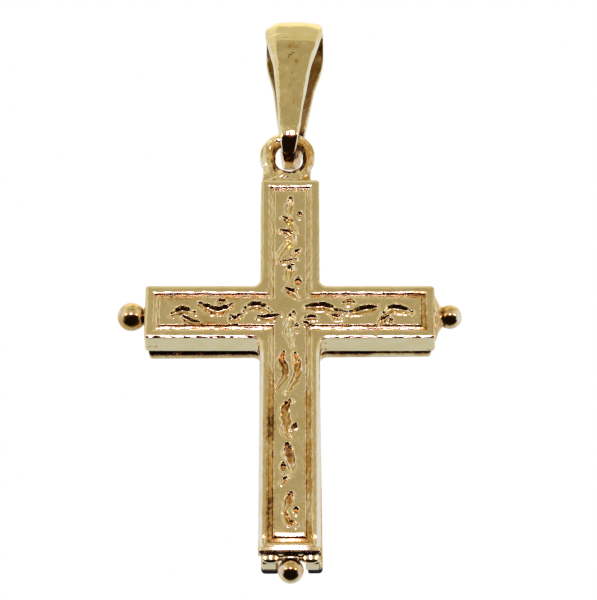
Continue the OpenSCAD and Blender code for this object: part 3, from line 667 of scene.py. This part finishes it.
def add_lathe(name, grid, material, body, grime_and_shade=0.1, flip=False):
    """Adds a turned piece with flat ends. Its grime_and_shade is one value, or one for each row."""
    rows, cols = grid.shape[:2]
    ends = [np.arange(cols)[::-1], (rows - 1) * cols + np.arange(cols)]
    dirt_and_shade = np.broadcast_to(np.reshape(grime_and_shade, (-1, 1)), (rows, cols))
    add_piece(name, grid, grid_quads(rows, cols), CROSS, material, body, ends=ends, flip=flip,
              marks={"grime_and_shade": dirt_and_shade})


# Each side ball: its name and side, its radius, its place along x, its neck's radius and flare, and the
# seed of its unevenness.
SIDE_BALLS = (("left", -1, 1.19, 13.38, 0.68, 0.12, 21), ("right", 1, 1.02, 13.5, 0.86, 0.2, 22))
BALL_RISE = 0.12


def build_side_balls():
    """Each ball is a turned profile: a flared neck out of the arm's end, then the ball."""
    for name, sign, ball_r, reach, neck_r, flare, seed in SIDE_BALLS:
        neck = [(ARM - 0.1 + 0.7 * t, neck_r + flare + 0.14 * (1 - t) ** 3 - flare * smooth(t * 1.6))
                for t in np.linspace(0, 1, 14)]
        start = math.asin(min(1, neck_r / ball_r))
        turn = np.linspace(math.pi - start + 0.05, 0.004, 60)
        ball = [(reach + ball_r * math.cos(a), ball_r * math.sin(a)) for a in turn]
        profile = [p for p in neck if p[0] < ball[0][0] - 0.02] + ball
        grid = lathe(profile, 96, (0, 0, 0), "x", 0.006, seed)
        grid[..., 0] *= sign
        grid += np.array([0, CASE_DEPTH / 2, BALL_RISE])
        dirt_and_shade = 0.3 * bell((np.array(profile)[:, 0] - ball[0][0]) / 0.25) + 0.46
        add_lathe("ball_" + name, grid, CASE_GOLD, "case", dirt_and_shade, flip=sign > 0)


def build_right_solder():
    """The lump of solder between the right arm's end and its ball: an ellipse whose half sizes fall
    with a power of the way out."""
    rings, sides, length = 30, 96, 0.85
    t = np.linspace(0, 1, rings)[:, None]
    a = np.linspace(0, 2 * math.pi, sides, endpoint=False)[None]
    left = (1 - t) ** 2.2
    half_depth, half_height = mix(0.8, CASE_DEPTH / 2 - 0.15, left), mix(0.8, 2.2, left)
    lump = 1 + 0.02 * ripple(np.stack(np.broadcast_arrays(np.cos(a), np.sin(a), 2 * t), -1), 1.2, 31)
    out = np.where(t == 0, -0.05, length * t) + 0 * a
    grid = np.stack([
        ARM + out, CASE_DEPTH / 2 + half_depth * lump * np.cos(a),
        half_height * lump * np.sin(a) + BALL_RISE * t], -1)
    add_lathe("solder_right", grid, CASE_GOLD, "case", 0.5, flip=True)


def ring_outside(ray, middle):
    """How far the ring reaches from the hole's middle along each ray: its outer circle, or the solder
    on the case's head where that reaches further, with the corners between them softened."""
    from_ring = middle - np.array([-RING_SHIFT, RING_MIDDLE])
    along = ray @ from_ring
    outer = -along + np.sqrt(along ** 2 - from_ring @ from_ring + RING_R ** 2)
    # The solder's corners, from the middle of the ring across and from the case's head up.
    solder = np.array([
        [-2.2, -0.3], [2.1, -0.3], [2.05, 0.3], [2.0, 0.9], [2.1, 1.7], [-2.1, 1.7], [-2.12, 0.9],
        [-2.17, 0.3]]) + [-RING_SHIFT, HEAD] - middle
    for start, end in zip(solder, np.roll(solder, -1, 0)):
        edge = end - start
        cross = ray[:, 0] * edge[1] - ray[:, 1] * edge[0]
        cross = np.where(abs(cross) < 1e-9, 1e-9, cross)
        far = (start[0] * edge[1] - start[1] * edge[0]) / cross
        share = (start[0] * ray[:, 1] - start[1] * ray[:, 0]) / cross
        hit = (far > 0) & (share >= 0) & (share <= 1)
        outer = np.where(hit, np.maximum(outer, far), outer)
    kernel = np.exp(-(np.arange(-6, 7) / 2.5) ** 2)
    return np.convolve(np.concatenate([outer[-6:], outer, outer[:6]]), kernel / kernel.sum(), "valid")


def ring_section():
    """The ring's section, once round, in columns: the share of the way from the hole to the outside,
    an offset from there, and the depth. Quarter circles round its four edges."""
    half, inside, outside = RING_THICK / 2, 0.26, 0.2
    turn = np.linspace(0, math.pi / 2, 8)
    section = [(0, inside * (1 - math.sin(a)), -half + inside * (1 - math.cos(a))) for a in turn]
    section += [(0, 0, d) for d in np.linspace(-0.18, 0.18, 5)]
    section += [(0, inside * (1 - math.sin(a)), half - inside * (1 - math.cos(a))) for a in turn[::-1]]
    section += [(s, mix(inside, -outside, s), half) for s in np.linspace(0, 1, 20)[1:-1]]
    section += [(1, -outside * (1 - math.sin(a)), half - outside * (1 - math.cos(a))) for a in turn]
    section += [(1, 0, d) for d in np.linspace(0.24, -0.24, 4)]
    section += [(1, -outside * (1 - math.sin(a)), -half + outside * (1 - math.cos(a))) for a in turn[::-1]]
    section += [(s, mix(inside, -outside, s), -half) for s in np.linspace(1, 0, 20)[1:-1]]
    return (np.array(column)[None] for column in zip(*section))


def build_ring():
    """The ring as a section swept round its oval hole, which is two half circles joined by straight
    sides. Its faces are hammered, creased at the left and smeared where the solder is."""
    angle = np.linspace(0, 2 * math.pi, 360, endpoint=False)
    ray = np.stack([np.cos(angle), np.sin(angle)], 1)
    middle = np.array([-HOLE_SHIFT, (HOLE_TOP + HOLE_BOTTOM) / 2])
    half_straight = (HOLE_TOP - HOLE_BOTTOM) / 2 - HOLE_R
    up = np.abs(ray[:, 1]) * half_straight
    inner = up + np.sqrt(np.maximum(HOLE_R ** 2 - (ray[:, 0] * half_straight) ** 2, 0.01))
    share, offset, depth = ring_section()
    radius = mix(inner[:, None], ring_outside(ray, middle)[:, None], share) + offset
    x, z = middle[0] + ray[:, :1] * radius, middle[1] + ray[:, 1:] * radius
    grid = np.stack([x, RING_DEPTH + depth + 0 * radius, z], -1)
    hammered = 0.02 * ripple(grid, 1.2, 41) - 0.07 * np.abs(ripple(grid, 1.7, 42)) + 0.035
    smear_way = np.array([[0.91, -0.42], [0.42, 0.91]])
    smear = 0.05 * ripple(grid[..., [0, 2]] @ smear_way * [0.7, 2.6], 1.1, 43, 14)
    smear *= smooth((HEAD + 1.1 - z) / 0.5)
    crease = bell(ripple(grid, 2.6, 44) / 0.22) * smooth((-x - 0.7) / 0.6) * (depth < 0)
    worn = 0.06 * share * smooth((-x - 1.0) / 0.8) * smooth((-depth - 0.1) / 0.3)
    crown = 0.12 * (2 * np.clip(share, 0, 1) - 1) ** 2
    above_solder = smooth((z - HEAD - 0.9) / 0.6)
    inwards = hammered - smear + (crown + 0.06 * crease + worn) * above_solder
    grid[..., 1] += inwards * np.where(depth > 0, -1, 1)
    quads = grid_quads(*grid.shape[:2], close_rows=True)
    dirt_and_shade = 0.12 + 0.4 * (share < 0.01) + 0.25 * crease + 0.3 * smooth(x / 1.5)
    dirt_and_shade += 0.35 * smooth((HEAD + 0.4 - z) / 0.3)
    add_piece("ring", grid, quads, CROSS, CASE_GOLD, "case", marks={"grime_and_shade": dirt_and_shade}, flip=True)


# The collars between the middle knuckle and the foot ball: place up from the hinge, radius and
# grime_and_shade: a little tarnish on the widest collars, and painted shade where they narrow beside the
# knuckle and the ball.
COLLARS = (
    (-0.3, 0.40, 1.0), (-0.45, 0.45, 1.0), (-0.51, 0.47, 1.0), (-0.54, 0.50, 0.9), (-0.57, 0.55, 0.5),
    (-0.61, 0.585, 0.3), (-0.66, 0.595, 0.3), (-0.71, 0.585, 0.3), (-0.75, 0.55, 0.6),
    (-0.78, 0.50, 0.9), (-0.82, 0.45, 1.0))
FOOT_BALL_R, FOOT_BALL_DROP = 1.04, 1.07


def build_foot_knuckle():
    """The middle knuckle and the block above it, the collars below it and the foot ball. The knuckle's
    section is round below and squarish above, and shrinks towards its ends."""
    half = MIDDLE_KNUCKLE / 2
    angle = np.linspace(0, 2 * math.pi, 72, endpoint=False)
    across, up = np.cos(angle), np.sin(angle)
    section = np.stack([
        np.where(up > 0, KNUCKLE_R * signed_power(across, 0.4), KNUCKLE_R * across),
        np.where(up > 0, 0.95 * signed_power(up, 0.5), KNUCKLE_R * up)], 1)
    rows = []
    for t in np.linspace(-1, 1, 25):
        full = 0.62 + 0.38 * (1 - abs(t) ** 2.4) ** 0.45
        rows.append(np.stack([np.full(72, half * t), section[:, 0] * full,
                              section[:, 1] * np.where(up > 0, 1, full)], 1))
    add_lathe("knuckle_middle", np.stack(rows) + np.array(HINGE), CASE_GOLD, "case", 0.2)
    collars = np.array(COLLARS)
    grid = lathe(collars[:, :2], 72, HINGE, "z")
    add_lathe("foot_collars", grid, CASE_GOLD, "case", collars[:, 2])
    turn = np.linspace(0.004, math.pi - 0.004, 72)
    ball = np.stack([FOOT_BALL_R * np.cos(turn) - FOOT_BALL_DROP, FOOT_BALL_R * np.sin(turn)], 1)
    grid = lathe(ball, 96, HINGE, "z", 0.005, 51)
    # Painted shade: the ball's top, up under the middle knuckle, is darkened over an even tarnish tint.
    dirt_and_shade = 0.6 * smooth((ball[:, 0] + 0.5) / 0.35) + 0.36
    add_lathe("foot_ball", grid, CASE_GOLD, "case", dirt_and_shade)


# The cover

def build_cover_plate():
    """Sweeps the cover's section: out of the pocket, over the lip, across the plate's front, round
    its edge and onto its back. The pocket's floor and the back are flat faces."""
    pocket, lip, soft = LIP_CLEARANCE + LIP_THICK, LIP_CLEARANCE, 0.04
    # Each row of the sweep: its outline, its depth, and its grime_and_shade under the arms and at the foot.
    rows = [
        (cavity_outline(pocket), POCKET_BACK, 0.8, 0.8),
        (cavity_outline(pocket), LIP_FRONT + soft, 0.6, 0.6),
        (cavity_outline(pocket - soft), LIP_FRONT, 0.4, 0.4),
        (cavity_outline(lip + soft), LIP_FRONT, 0.4, 0.4),
        (cavity_outline(lip), LIP_FRONT + soft, 0.6, 0.6),
        (cavity_outline(lip), COVER_FRONT, 0.9, 0.1),
        (cover_outline(0.06, 0.02), COVER_FRONT, 0.9, 0.1),
        (cover_outline(0.02), COVER_FRONT + 0.03, 0.9, 0.1)]
    # Painted shade on the side rows: under the arms darkest next to the seam with the case, and dark down
    # the foot's side.
    side_grime_and_shade = ((0.9, 0.5), (0.7, 0.9), (0.5, 1.0), (0.4, 1.0), (0.3, 1.0), (0.3, 1.0))
    side = np.linspace(COVER_FRONT + 0.08, COVER_BACK - COVER_ROUND, len(side_grime_and_shade))
    rows += [(cover_outline(0.0), depth, *grime_and_shade) for depth, grime_and_shade in zip(side, side_grime_and_shade)]
    for step, a in enumerate(np.linspace(0, math.pi / 2, 9)[1:]):
        gone = COVER_ROUND * (1 - math.cos(a))
        rows.append((
            cover_outline(gone, min(gone, 0.08)), COVER_BACK - COVER_ROUND + COVER_ROUND * math.sin(a),
            0.2 if step < 4 else 0.03, 1.0 if step < 5 else 0.03))
    rows.append((cover_outline(COVER_ROUND + 0.1, 0.1), COVER_BACK, 0.03, 0.03))
    points = np.stack([level(outline, depth) for outline, depth, _, _ in rows])
    dirt_and_shade, foot_dirt_and_shade = (np.array([row[i] for row in rows])[:, None] for i in (2, 3))
    foot = smooth((-points[..., 2] - 21.7) / 0.3)
    arms = smooth((np.abs(points[..., 0]) - HALF_BAR) / 0.3) * smooth(-points[..., 2])
    # Elsewhere the mark is capped at 0.3, a little tarnish. Under the arms and on the foot's side and
    # underside it is painted shade over a little tarnish.
    grime_and_shade = mix(mix(np.minimum(dirt_and_shade, 0.3), dirt_and_shade, arms), foot_dirt_and_shade, foot)
    # The plate's front and side, up to where the back edge rounds over, were never polished.
    rim = np.isin(np.arange(len(rows)), np.arange(5, 16))[:, None]
    count = points.shape[1]
    last = (len(rows) - 1) * count
    ends = [np.arange(count)[::-1], last + np.arange(count)]
    add_piece("cover_plate", points, grid_quads(*points.shape[:2]), CROSS, COVER_GOLD, "cover",
              ends=ends, marks={"grime_and_shade": grime_and_shade, "matte": foot * rim})


def build_cover_knuckles():
    """Two drilled knuckles with domed ends, each on a web that rises from the cover's ledge. A knuckle's
    section is squarish, a superellipse of power 4, and a web's is a rounded oblong."""
    middle, half = (OUTER_START + OUTER_END) / 2, (OUTER_END - OUTER_START) / 2
    barrel = [(middle + half * t, KNUCKLE_R * (1 - 0.75 * t ** 2) ** 0.5)
              for t in np.sin(np.linspace(-1, 1, 33) * math.pi / 2)]
    profile = [(OUTER_START + 0.3, BORE_R), (OUTER_START, BORE_R)] + barrel + [
        (OUTER_END, BORE_R), (OUTER_END - 0.3, BORE_R)]
    # Painted shade: each knuckle is darkened towards its inner end, next to the middle knuckle.
    dirt_and_shade = 0.05 + 0.5 * np.exp(-(np.array(profile)[:, :1] - OUTER_START) / 0.15)
    web_start, web_front = 1.2, 1.63
    for name, sign in (("left", -1), ("right", 1)):
        grid = lathe(profile, 72, (0, 0, 0), "x")
        radius = np.linalg.norm(grid[..., 1:], axis=-1, keepdims=True)
        turned = turn_about(grid, 1, 2, -KNUCKLE_TURN)[..., 1:] / radius
        squared = 0.9 * (turned ** 4).sum(-1, keepdims=True) ** -0.25
        grid[..., 1:] *= mix(1, squared, smooth((radius - BORE_R) / 0.15))
        grid[..., 0] *= sign
        marks = {"grime_and_shade": np.broadcast_to(dirt_and_shade, grid.shape[:2]), "matte": np.full(grid.shape[:2], 0.12)}
        add_piece("knuckle_" + name, grid + np.array(HINGE), grid_quads(*grid.shape[:2]), CROSS, COVER_GOLD,
                  "cover", flip=sign > 0, marks=marks)
        low = np.array([HINGE[0] + (web_start if sign > 0 else -OUTER_END), web_front, -COVER_FOOT])
        size = np.array([OUTER_END - web_start, COVER_FRONT - web_front + 0.02, 0.45])
        u, v = np.linspace(0, 2 * math.pi, 48, endpoint=False)[None], np.linspace(0, 1, 10)[:, None]
        oblong = (0.5 + 0.5 * signed_power(np.cos(u), 0.22), v, 0.5 + 0.5 * signed_power(np.sin(u), 0.22))
        web = low + size * np.stack(np.broadcast_arrays(*oblong), -1)
        add_lathe("web_" + name, web, COVER_GOLD, "cover", 0.05, flip=True)


# The bail

def bail_half_width(h):
    """Half the bail's width at a height over its foot: a root of the height up to the waist, and from
    there a power of it that runs out level at the crown."""
    up = np.maximum(0, h - WAIST_HEIGHT) / (BAIL_HEIGHT - WAIST_HEIGHT)
    low = np.maximum(0, h - FOOT_THICK / 2) / (WAIST_HEIGHT - FOOT_THICK / 2)
    return (BAIL_FOOT / 2 + (BAIL_WAIST - BAIL_FOOT) / 2 * np.minimum(1, low) ** 0.5
            + (BAIL_CROWN - BAIL_WAIST) / 2 * mix(up ** 1.35, 1, smooth((up - 0.5) / 0.45)))


# The worn bevels down the bail's front: the side, how steeply it falls away, how much it wavers, how high
# its ridge is, and its width at heights over the foot.
BEVELS = (
    (-1, 0.40, 0.03, 0.022, ((0.9, 0.1), (2.2, 0.24), (4.7, 0.24), (6.6, 0.34), (8.6, 0.42), (10.5, 0.60),
                             (11.5, 0.77), (13.1, 1.05))),
    (1, 0.75, 0.0, 0.0, ((0.9, 0.08), (2.2, 0.16), (5, 0.12), (9, 0.16), (13, 0.24))))
# Stains and pits on the bail's front: place across, height, half width, half height, and strength.
BAIL_MARKS = (
    (0.0, 14.2, 0.35, 0.25, 0.5), (0.0, 10.9, 1.2, 0.55, 0.4), (0.4, 9.25, 0.28, 0.4, 0.5),
    (0.05, 8.1, 0.16, 0.35, 0.46), (-0.12, 6.8, 0.12, 0.2, 0.42), (-0.2, 9.95, 0.28, 0.065, 1.0),
    (0.08, 10.15, 0.2, 0.055, 1.0), (-0.3, 9.75, 0.06, 0.16, 1.0), (0.3, 5.0, 0.05, 0.35, 0.7))


def bail_path():
    """The bail's middle line from the side: up the back leg, round the crown, down the front leg and
    round the foot. Columns: depth, height over the ring's wire, and the angle that points outwards."""
    back, front = -LEG_SLOPE, math.pi + LEG_SLOPE

    def arc(radius, rise, start, end, count):
        """Points at even angles round a circle whose middle lies this far over the wire."""
        a = np.linspace(start, end, count, endpoint=False)
        return np.stack([radius * np.cos(a), rise + radius * np.sin(a), a], 1)

    def leg(angle, radii, rises, count):
        """A straight leg that touches both circles where their rays at this angle end."""
        (start,), (end,) = (arc(r, rise, angle, angle, 1) for r, rise in zip(radii, rises))
        return start + (end - start) * np.linspace(0, 1, count, endpoint=False)[:, None]

    return np.concatenate([
        leg(back, (FOOT_R, CROWN_R), (0, CROWN_RISE), 150),
        arc(CROWN_R, CROWN_RISE, back, front, 220),
        leg(front, (CROWN_R, FOOT_R), (CROWN_RISE, 0), 180),
        arc(FOOT_R, 0, front, 2 * math.pi - LEG_SLOPE, 90)])


def bail_oblong():
    """A rounded oblong, once round, in columns: the share of the way across and out, and the share of
    the corner's radius across and out. Straight sides, and a quarter circle at each corner."""
    flat, side, turn = np.linspace(-1, 1, 49), np.linspace(-1, 1, 6), np.linspace(0, math.pi / 2, 7)[1:-1]
    parts = [np.broadcast_arrays(*part) for part in (
        (flat, 1, 0, 1), (1, 1, np.sin(turn), np.cos(turn)),
        (1, -side, 1, 0), (1, -1, np.cos(turn), -np.sin(turn)),
        (-flat, -1, 0, -1), (-1, -1, -np.sin(turn), -np.cos(turn)),
        (-1, side, -1, 0), (-1, 1, -np.cos(turn), np.sin(turn)))]
    return (np.concatenate(column)[None].astype(float) for column in zip(*parts))


def bail_front_relief(x, along, half, dome, past_crease):
    """How far the bail's front stands out over its plain doming: a bevel down each side, whose drop
    grows evenly beyond its border, with a burred ridge along it at the left; a flatter dome; a crown
    that leans back from the crease on; edges drawn in at the foot; a swelling at mid height; and
    a dent above the foot."""
    u = x / half
    relief = 0.55 * dome * u ** 2
    for sign, drop, waver, ridge, widths in BEVELS:
        place = np.stack([along, sign + 0 * along], -1)
        wavy = ripples(place, (0.05, 1.3, 62), (waver, 0.45, 63))
        wavy *= mix(1, 0.25, smooth((along - 11.4) / 0.8))
        border = half - np.interp(along[:, :1], *zip(*widths)) + wavy
        relief -= drop * 0.04 * np.logaddexp(0, (sign * x - border) / 0.04)
        burrs = 0.5 + 0.8 * ripple(np.stack([along, x], -1), 0.35, 64)
        relief += ridge * bell((sign * x - border) / 0.06) * burrs
    relief -= 0.2 * np.clip(past_crease, 0, 1) * (1 - smooth((past_crease - 1.2) / 2))
    relief -= 0.14 * u ** 2 * (1 - smooth((along - 2.4) / 2))
    relief += 0.06 * np.clip(1 - ((along - 7) / 4.2) ** 2, 0, 1)
    return relief - 0.05 * bell((x - 0.2) / 0.34, (along - 1.95) / 0.45)


def build_bail():
    """The bail's band: its section, a rounded oblong with its edges bent inwards, is swept once round
    the middle line, and then turned and leant as it hangs in the photograph."""
    depth, rise, angle = (column[:, None] for column in bail_path().T)
    height = rise + FOOT_OUTER
    behind = smooth(depth / 1.5) * smooth((height - 3.4) / 3) * (1 - smooth((height - 10.9) / 3))
    half = bail_half_width(height) * (1 + 0.1 * behind)
    thick = mix(FOOT_THICK, CROWN_THICK, smooth(height / 6))
    dome = BAIL_DOMING * (2 * half / BAIL_CROWN) ** 2
    slim = 1 - smooth(height / 7)
    across, through, corner_x, corner_y = bail_oblong()
    soft = np.minimum(0.16, half * 0.4)
    v = (through * (thick / 2 - soft) + corner_y * soft) / (thick / 2)
    x = (across * (half - soft) + corner_x * soft) * (1 - 0.39 * slim * (1 - v) / 2)
    along = height + 0 * x
    front = smooth(-depth) * smooth((v + 0.2) / 0.4)
    # How far the line has gone past the crease, where the crown meets the front leg.
    on_leg = rise < CROWN_RISE - 0.13
    past_crease = np.where(on_leg, height - 11.45, 0.4 + 2.85 * (math.pi + LEG_SLOPE - angle))
    out = thick / 2 * v - dome * (x / half) ** 2 * (0.75 + 0.25 * v)
    out = out + front * bail_front_relief(x, along, half, dome, past_crease)
    outwards = np.stack(np.broadcast_arrays(0 * x, np.cos(angle), np.sin(angle)), -1)
    grid = np.stack(np.broadcast_arrays(x, depth, rise), -1) + out[..., None] * outwards

    # The inner side is lumpy, with one bright stretch between tarnished ones.
    inner = smooth((-v - 0.2) / 0.3) * (depth > 0)
    uneven = along + 0.5 * ripple(np.stack([x, along], -1), 1.2, 67)
    bright = bell((uneven - 11.4) / 0.7)
    lumps = ripples(grid, (0.012, 1.6, 61), (0.004, 0.6, 65))
    lumps *= mix(1, smooth((np.abs(along - 2.0) - 0.7) / 1.0), front)
    lumps += inner * bright * 0.02 * ripple(grid, 0.8, 66)
    grid += lumps[..., None] * outwards

    # Painted shade under the foot; tarnish beside it on the right, on the inner side, and the front's
    # stains.
    round_foot = (angle - math.pi) * (rise < 0)
    # Painted shade: the underside of the foot is darkened, less towards its back.
    under = smooth((round_foot - 0.95) / 0.12) - 0.5 * smooth((round_foot - 1.32) / 0.12)
    beside = np.maximum(smooth((round_foot - 0.6) / 0.5), (depth > 0) * smooth((5.5 - along) / 1.5))
    dirt_and_shade = 0.1 * smooth((-v - 0.2) / 0.3) + under
    dirt_and_shade = np.maximum(dirt_and_shade, 0.5 * beside * smooth(x / 0.3) * ((np.abs(across) == 1) | (v < 0)))
    ends = 0.65 * smooth((uneven - 11.6) / 1.4) + 0.4 * smooth((11.0 - uneven) / 1.0)
    dirt_and_shade += inner * ends * mix(0.2, 0.85, x > 0)
    for middle, mark_height, wide, tall, strength in BAIL_MARKS:
        stain = strength * bell((x - middle) / wide, (along - mark_height) / tall)
        dirt_and_shade = np.maximum(dirt_and_shade, stain * (v > 0) * (depth < 0.5))
    grid = turn_about(turn_about(grid, 0, 1, -BAIL_TURN), 0, 2, -BAIL_LEAN)
    marks = {"grime_and_shade": np.clip(dirt_and_shade, 0, 1), "matte": smooth(-v / 0.4) * (1 - 0.8 * bright)}
    add_piece("bail_band", grid, grid_quads(*grid.shape[:2], close_rows=True), PIVOT, BAIL_GOLD, "bail",
              flip=True, marks=marks)


build_case_frame()
build_panel()
build_plate_back()
build_side_balls()
build_right_solder()
build_ring()
build_foot_knuckle()
build_cover_plate()
build_cover_knuckles()
build_bail()

for piece_name, node_name in (
        ("case_frame", "case"), ("case_panel", "case"), ("case_plate_back", "case"), ("ball_left", "case"),
        ("ball_right", "case"), ("solder_right", "case"), ("ring", "case"), ("knuckle_middle", "case"),
        ("foot_collars", "case"), ("foot_ball", "case"), ("cover_plate", "cover"),
        ("knuckle_left", "cover"), ("knuckle_right", "cover"), ("web_left", "cover"), ("web_right", "cover"),
        ("bail_band", "bail")):
    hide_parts(node_name)

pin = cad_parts["hinge_pin"]
pin.data.materials.clear()
pin.data.materials.append(PIN_GOLD)


# Studio

def build_floor():
    """A plain pale floor far below the pendant, in metres, kept out of its reflections."""
    mesh = bpy.data.meshes.new("floor")
    reach, low = 30.0, -0.32
    corners = [(-reach, -reach, low), (reach, -reach, low), (reach, reach, low), (-reach, reach, low)]
    mesh.from_pydata(corners, [], [(0, 1, 2, 3)])
    pale = bpy.data.materials.new("pale_floor")
    pale.use_nodes = True
    shader = pale.node_tree.nodes["Principled BSDF"]
    shader.inputs["Base Color"].default_value = linear("#f7f2e4")
    shader.inputs["Roughness"].default_value = 0.9
    mesh.materials.append(pale)
    floor = bpy.data.objects.new("floor", mesh)
    bpy.context.scene.collection.objects.link(floor)
    floor.visible_glossy = False


# The tent's colours, as linear light.
FRONT_LOW, FRONT_MIDDLE, FRONT_HIGH = (0.78, 0.77, 0.78, 1), (0.54, 0.51, 0.42, 1), (0.48, 0.43, 0.27, 1)
FOLD = (0.4644, 0.4386, 0.3612, 1)
OVERHEAD, ROOF = (0.72, 0.73, 0.68, 1), (1.25, 1.26, 1.2, 1)
BEHIND, BELOW_BEHIND = (0.9, 0.95, 1.05, 1), (0.67, 0.77, 0.96, 1)
BESIDE, FAR_BESIDE = (0.84, 0.88, 0.95, 1), (0.88, 1.05, 1.9, 1)
TABLE, TABLE_EDGE = (0.010, 0.006, 0.004, 1), (0.26, 0.04, 0.04, 1)
MIDDLE_LAMP, SIDE_LAMP = (9.0, 6.8, 14.0, 1), (9.0, 7.2, 6.5, 1)
# What lies low in front: the heights over which it begins and ends, its middle across, the distances
# from there over which it ends, and its light. The table, its lit edge, and three lamps.
LOW_IN_FRONT = (
    ((-136.0, -108.0), (-14.0, -10.0), 0.0, (0.84, 0.97), TABLE),
    ((-15.0, -12.0), (-9.0, -8.0), 0.0, (0.7, 0.9), TABLE_EDGE),
    ((-9.0, -8.0), (1.0, 2.0), 0.0, (0.09, 0.12), MIDDLE_LAMP),
    ((-9.0, -8.0), (1.0, 2.0), 0.68, (0.06, 0.08), SIDE_LAMP),
    ((-9.0, -8.0), (1.0, 2.0), -0.68, (0.06, 0.08), SIDE_LAMP))


def build_light():
    """A photographer's light tent as a world: cool white behind, white overhead, a dimmer warm front, a
    dark table low in front with a dull red edge, and three small lamps just above that. The camera
    itself sees plain white."""
    world = bpy.data.worlds.new("light_tent")
    bpy.context.scene.world = world
    world.use_nodes = True
    tree = world.node_tree
    tree.nodes.clear()
    way = add_node(tree, "TexCoord").outputs["Generated"]
    x, y, z = add_node(tree, "SeparateXYZ", {0: way}).outputs
    # The height over the front horizon, in degrees: 90 overhead, 180 the back horizon, -90 straight down.
    forwards = add_node(tree, "Math", {0: y, 1: -1.0}, operation="MULTIPLY")
    angle = add_node(tree, "Math", {0: z, 1: forwards}, operation="ARCTAN2")
    angle = add_node(tree, "Math", {0: angle}, operation="DEGREES")
    beside = add_node(tree, "Math", {0: x}, operation="ABSOLUTE")
    folds = add_node(tree, "TexNoise", {"Vector": way, "Scale": 7.0, "Detail": 2.0})
    colour = FRONT_LOW
    for value, low, high, tint in (
            (angle, 22.0, 29.5, FRONT_MIDDLE), (angle, 34.0, 42.0, FRONT_HIGH), (folds, 0.62, 0.38, FOLD),
            (angle, 43.0, 48.0, OVERHEAD), (angle, 72.0, 88.0, ROOF), (angle, 105.0, 140.0, BEHIND),
            (angle, -120.0, -142.0, BELOW_BEHIND), (x, 0.42, 0.66, BESIDE), (x, -0.26, -0.6, BESIDE),
            (beside, 0.72, 0.84, FAR_BESIDE)):
        colour = fade(tree, value, low, high, colour, tint)
    for begins, ends, middle, sides, tint in LOW_IN_FRONT:
        off = add_node(tree, "Math", {0: x, 1: middle}, operation="SUBTRACT")
        off = add_node(tree, "Math", {0: off}, operation="ABSOLUTE")
        begun, ended, outside = (
            add_node(tree, "MapRange", {0: value, 1: low, 2: high}, interpolation_type="SMOOTHSTEP")
            for value, (low, high) in ((angle, begins), (angle, ends), (off, sides)))
        share = add_node(tree, "Math", {0: begun, 1: ended}, operation="SUBTRACT")
        inside = add_node(tree, "Math", {0: 1.0, 1: outside}, operation="SUBTRACT")
        share = add_node(tree, "Math", {0: share, 1: inside}, operation="MULTIPLY")
        colour = add_node(tree, "Mix", {0: share, 6: colour, 7: tint}, data_type="RGBA").outputs[2]
    seen = add_node(tree, "LightPath").outputs["Is Camera Ray"]
    colour = add_node(tree, "Mix", {0: seen, 6: colour, 7: (1, 1, 1, 1)}, data_type="RGBA").outputs[2]
    background = add_node(tree, "Background", {"Color": colour, "Strength": 1.0})
    add_node(tree, "OutputWorld", {"Surface": background})


def build_camera():
    """The photograph's view: from straight in front and 30 degrees below, looking up."""
    distance, below, aim_x, aim_z = 215.0, math.radians(30), 0.35, -27.5
    data = bpy.data.cameras.new("camera")
    data.lens, data.sensor_width = 152.0, 36.0
    data.clip_start, data.clip_end = 0.01, 10.0
    camera = bpy.data.objects.new("camera", data)
    bpy.context.scene.collection.objects.link(camera)
    camera.location = (
        aim_x * MM, -distance * MM * math.cos(below), (aim_z - distance * math.sin(below)) * MM)
    camera.rotation_euler = (math.pi / 2 + below, 0, 0)
    bpy.context.scene.camera = camera


build_floor()
build_light()
build_camera()
bpy.context.scene.view_settings.view_transform = "Standard"
bpy.context.scene.view_settings.look = "None"
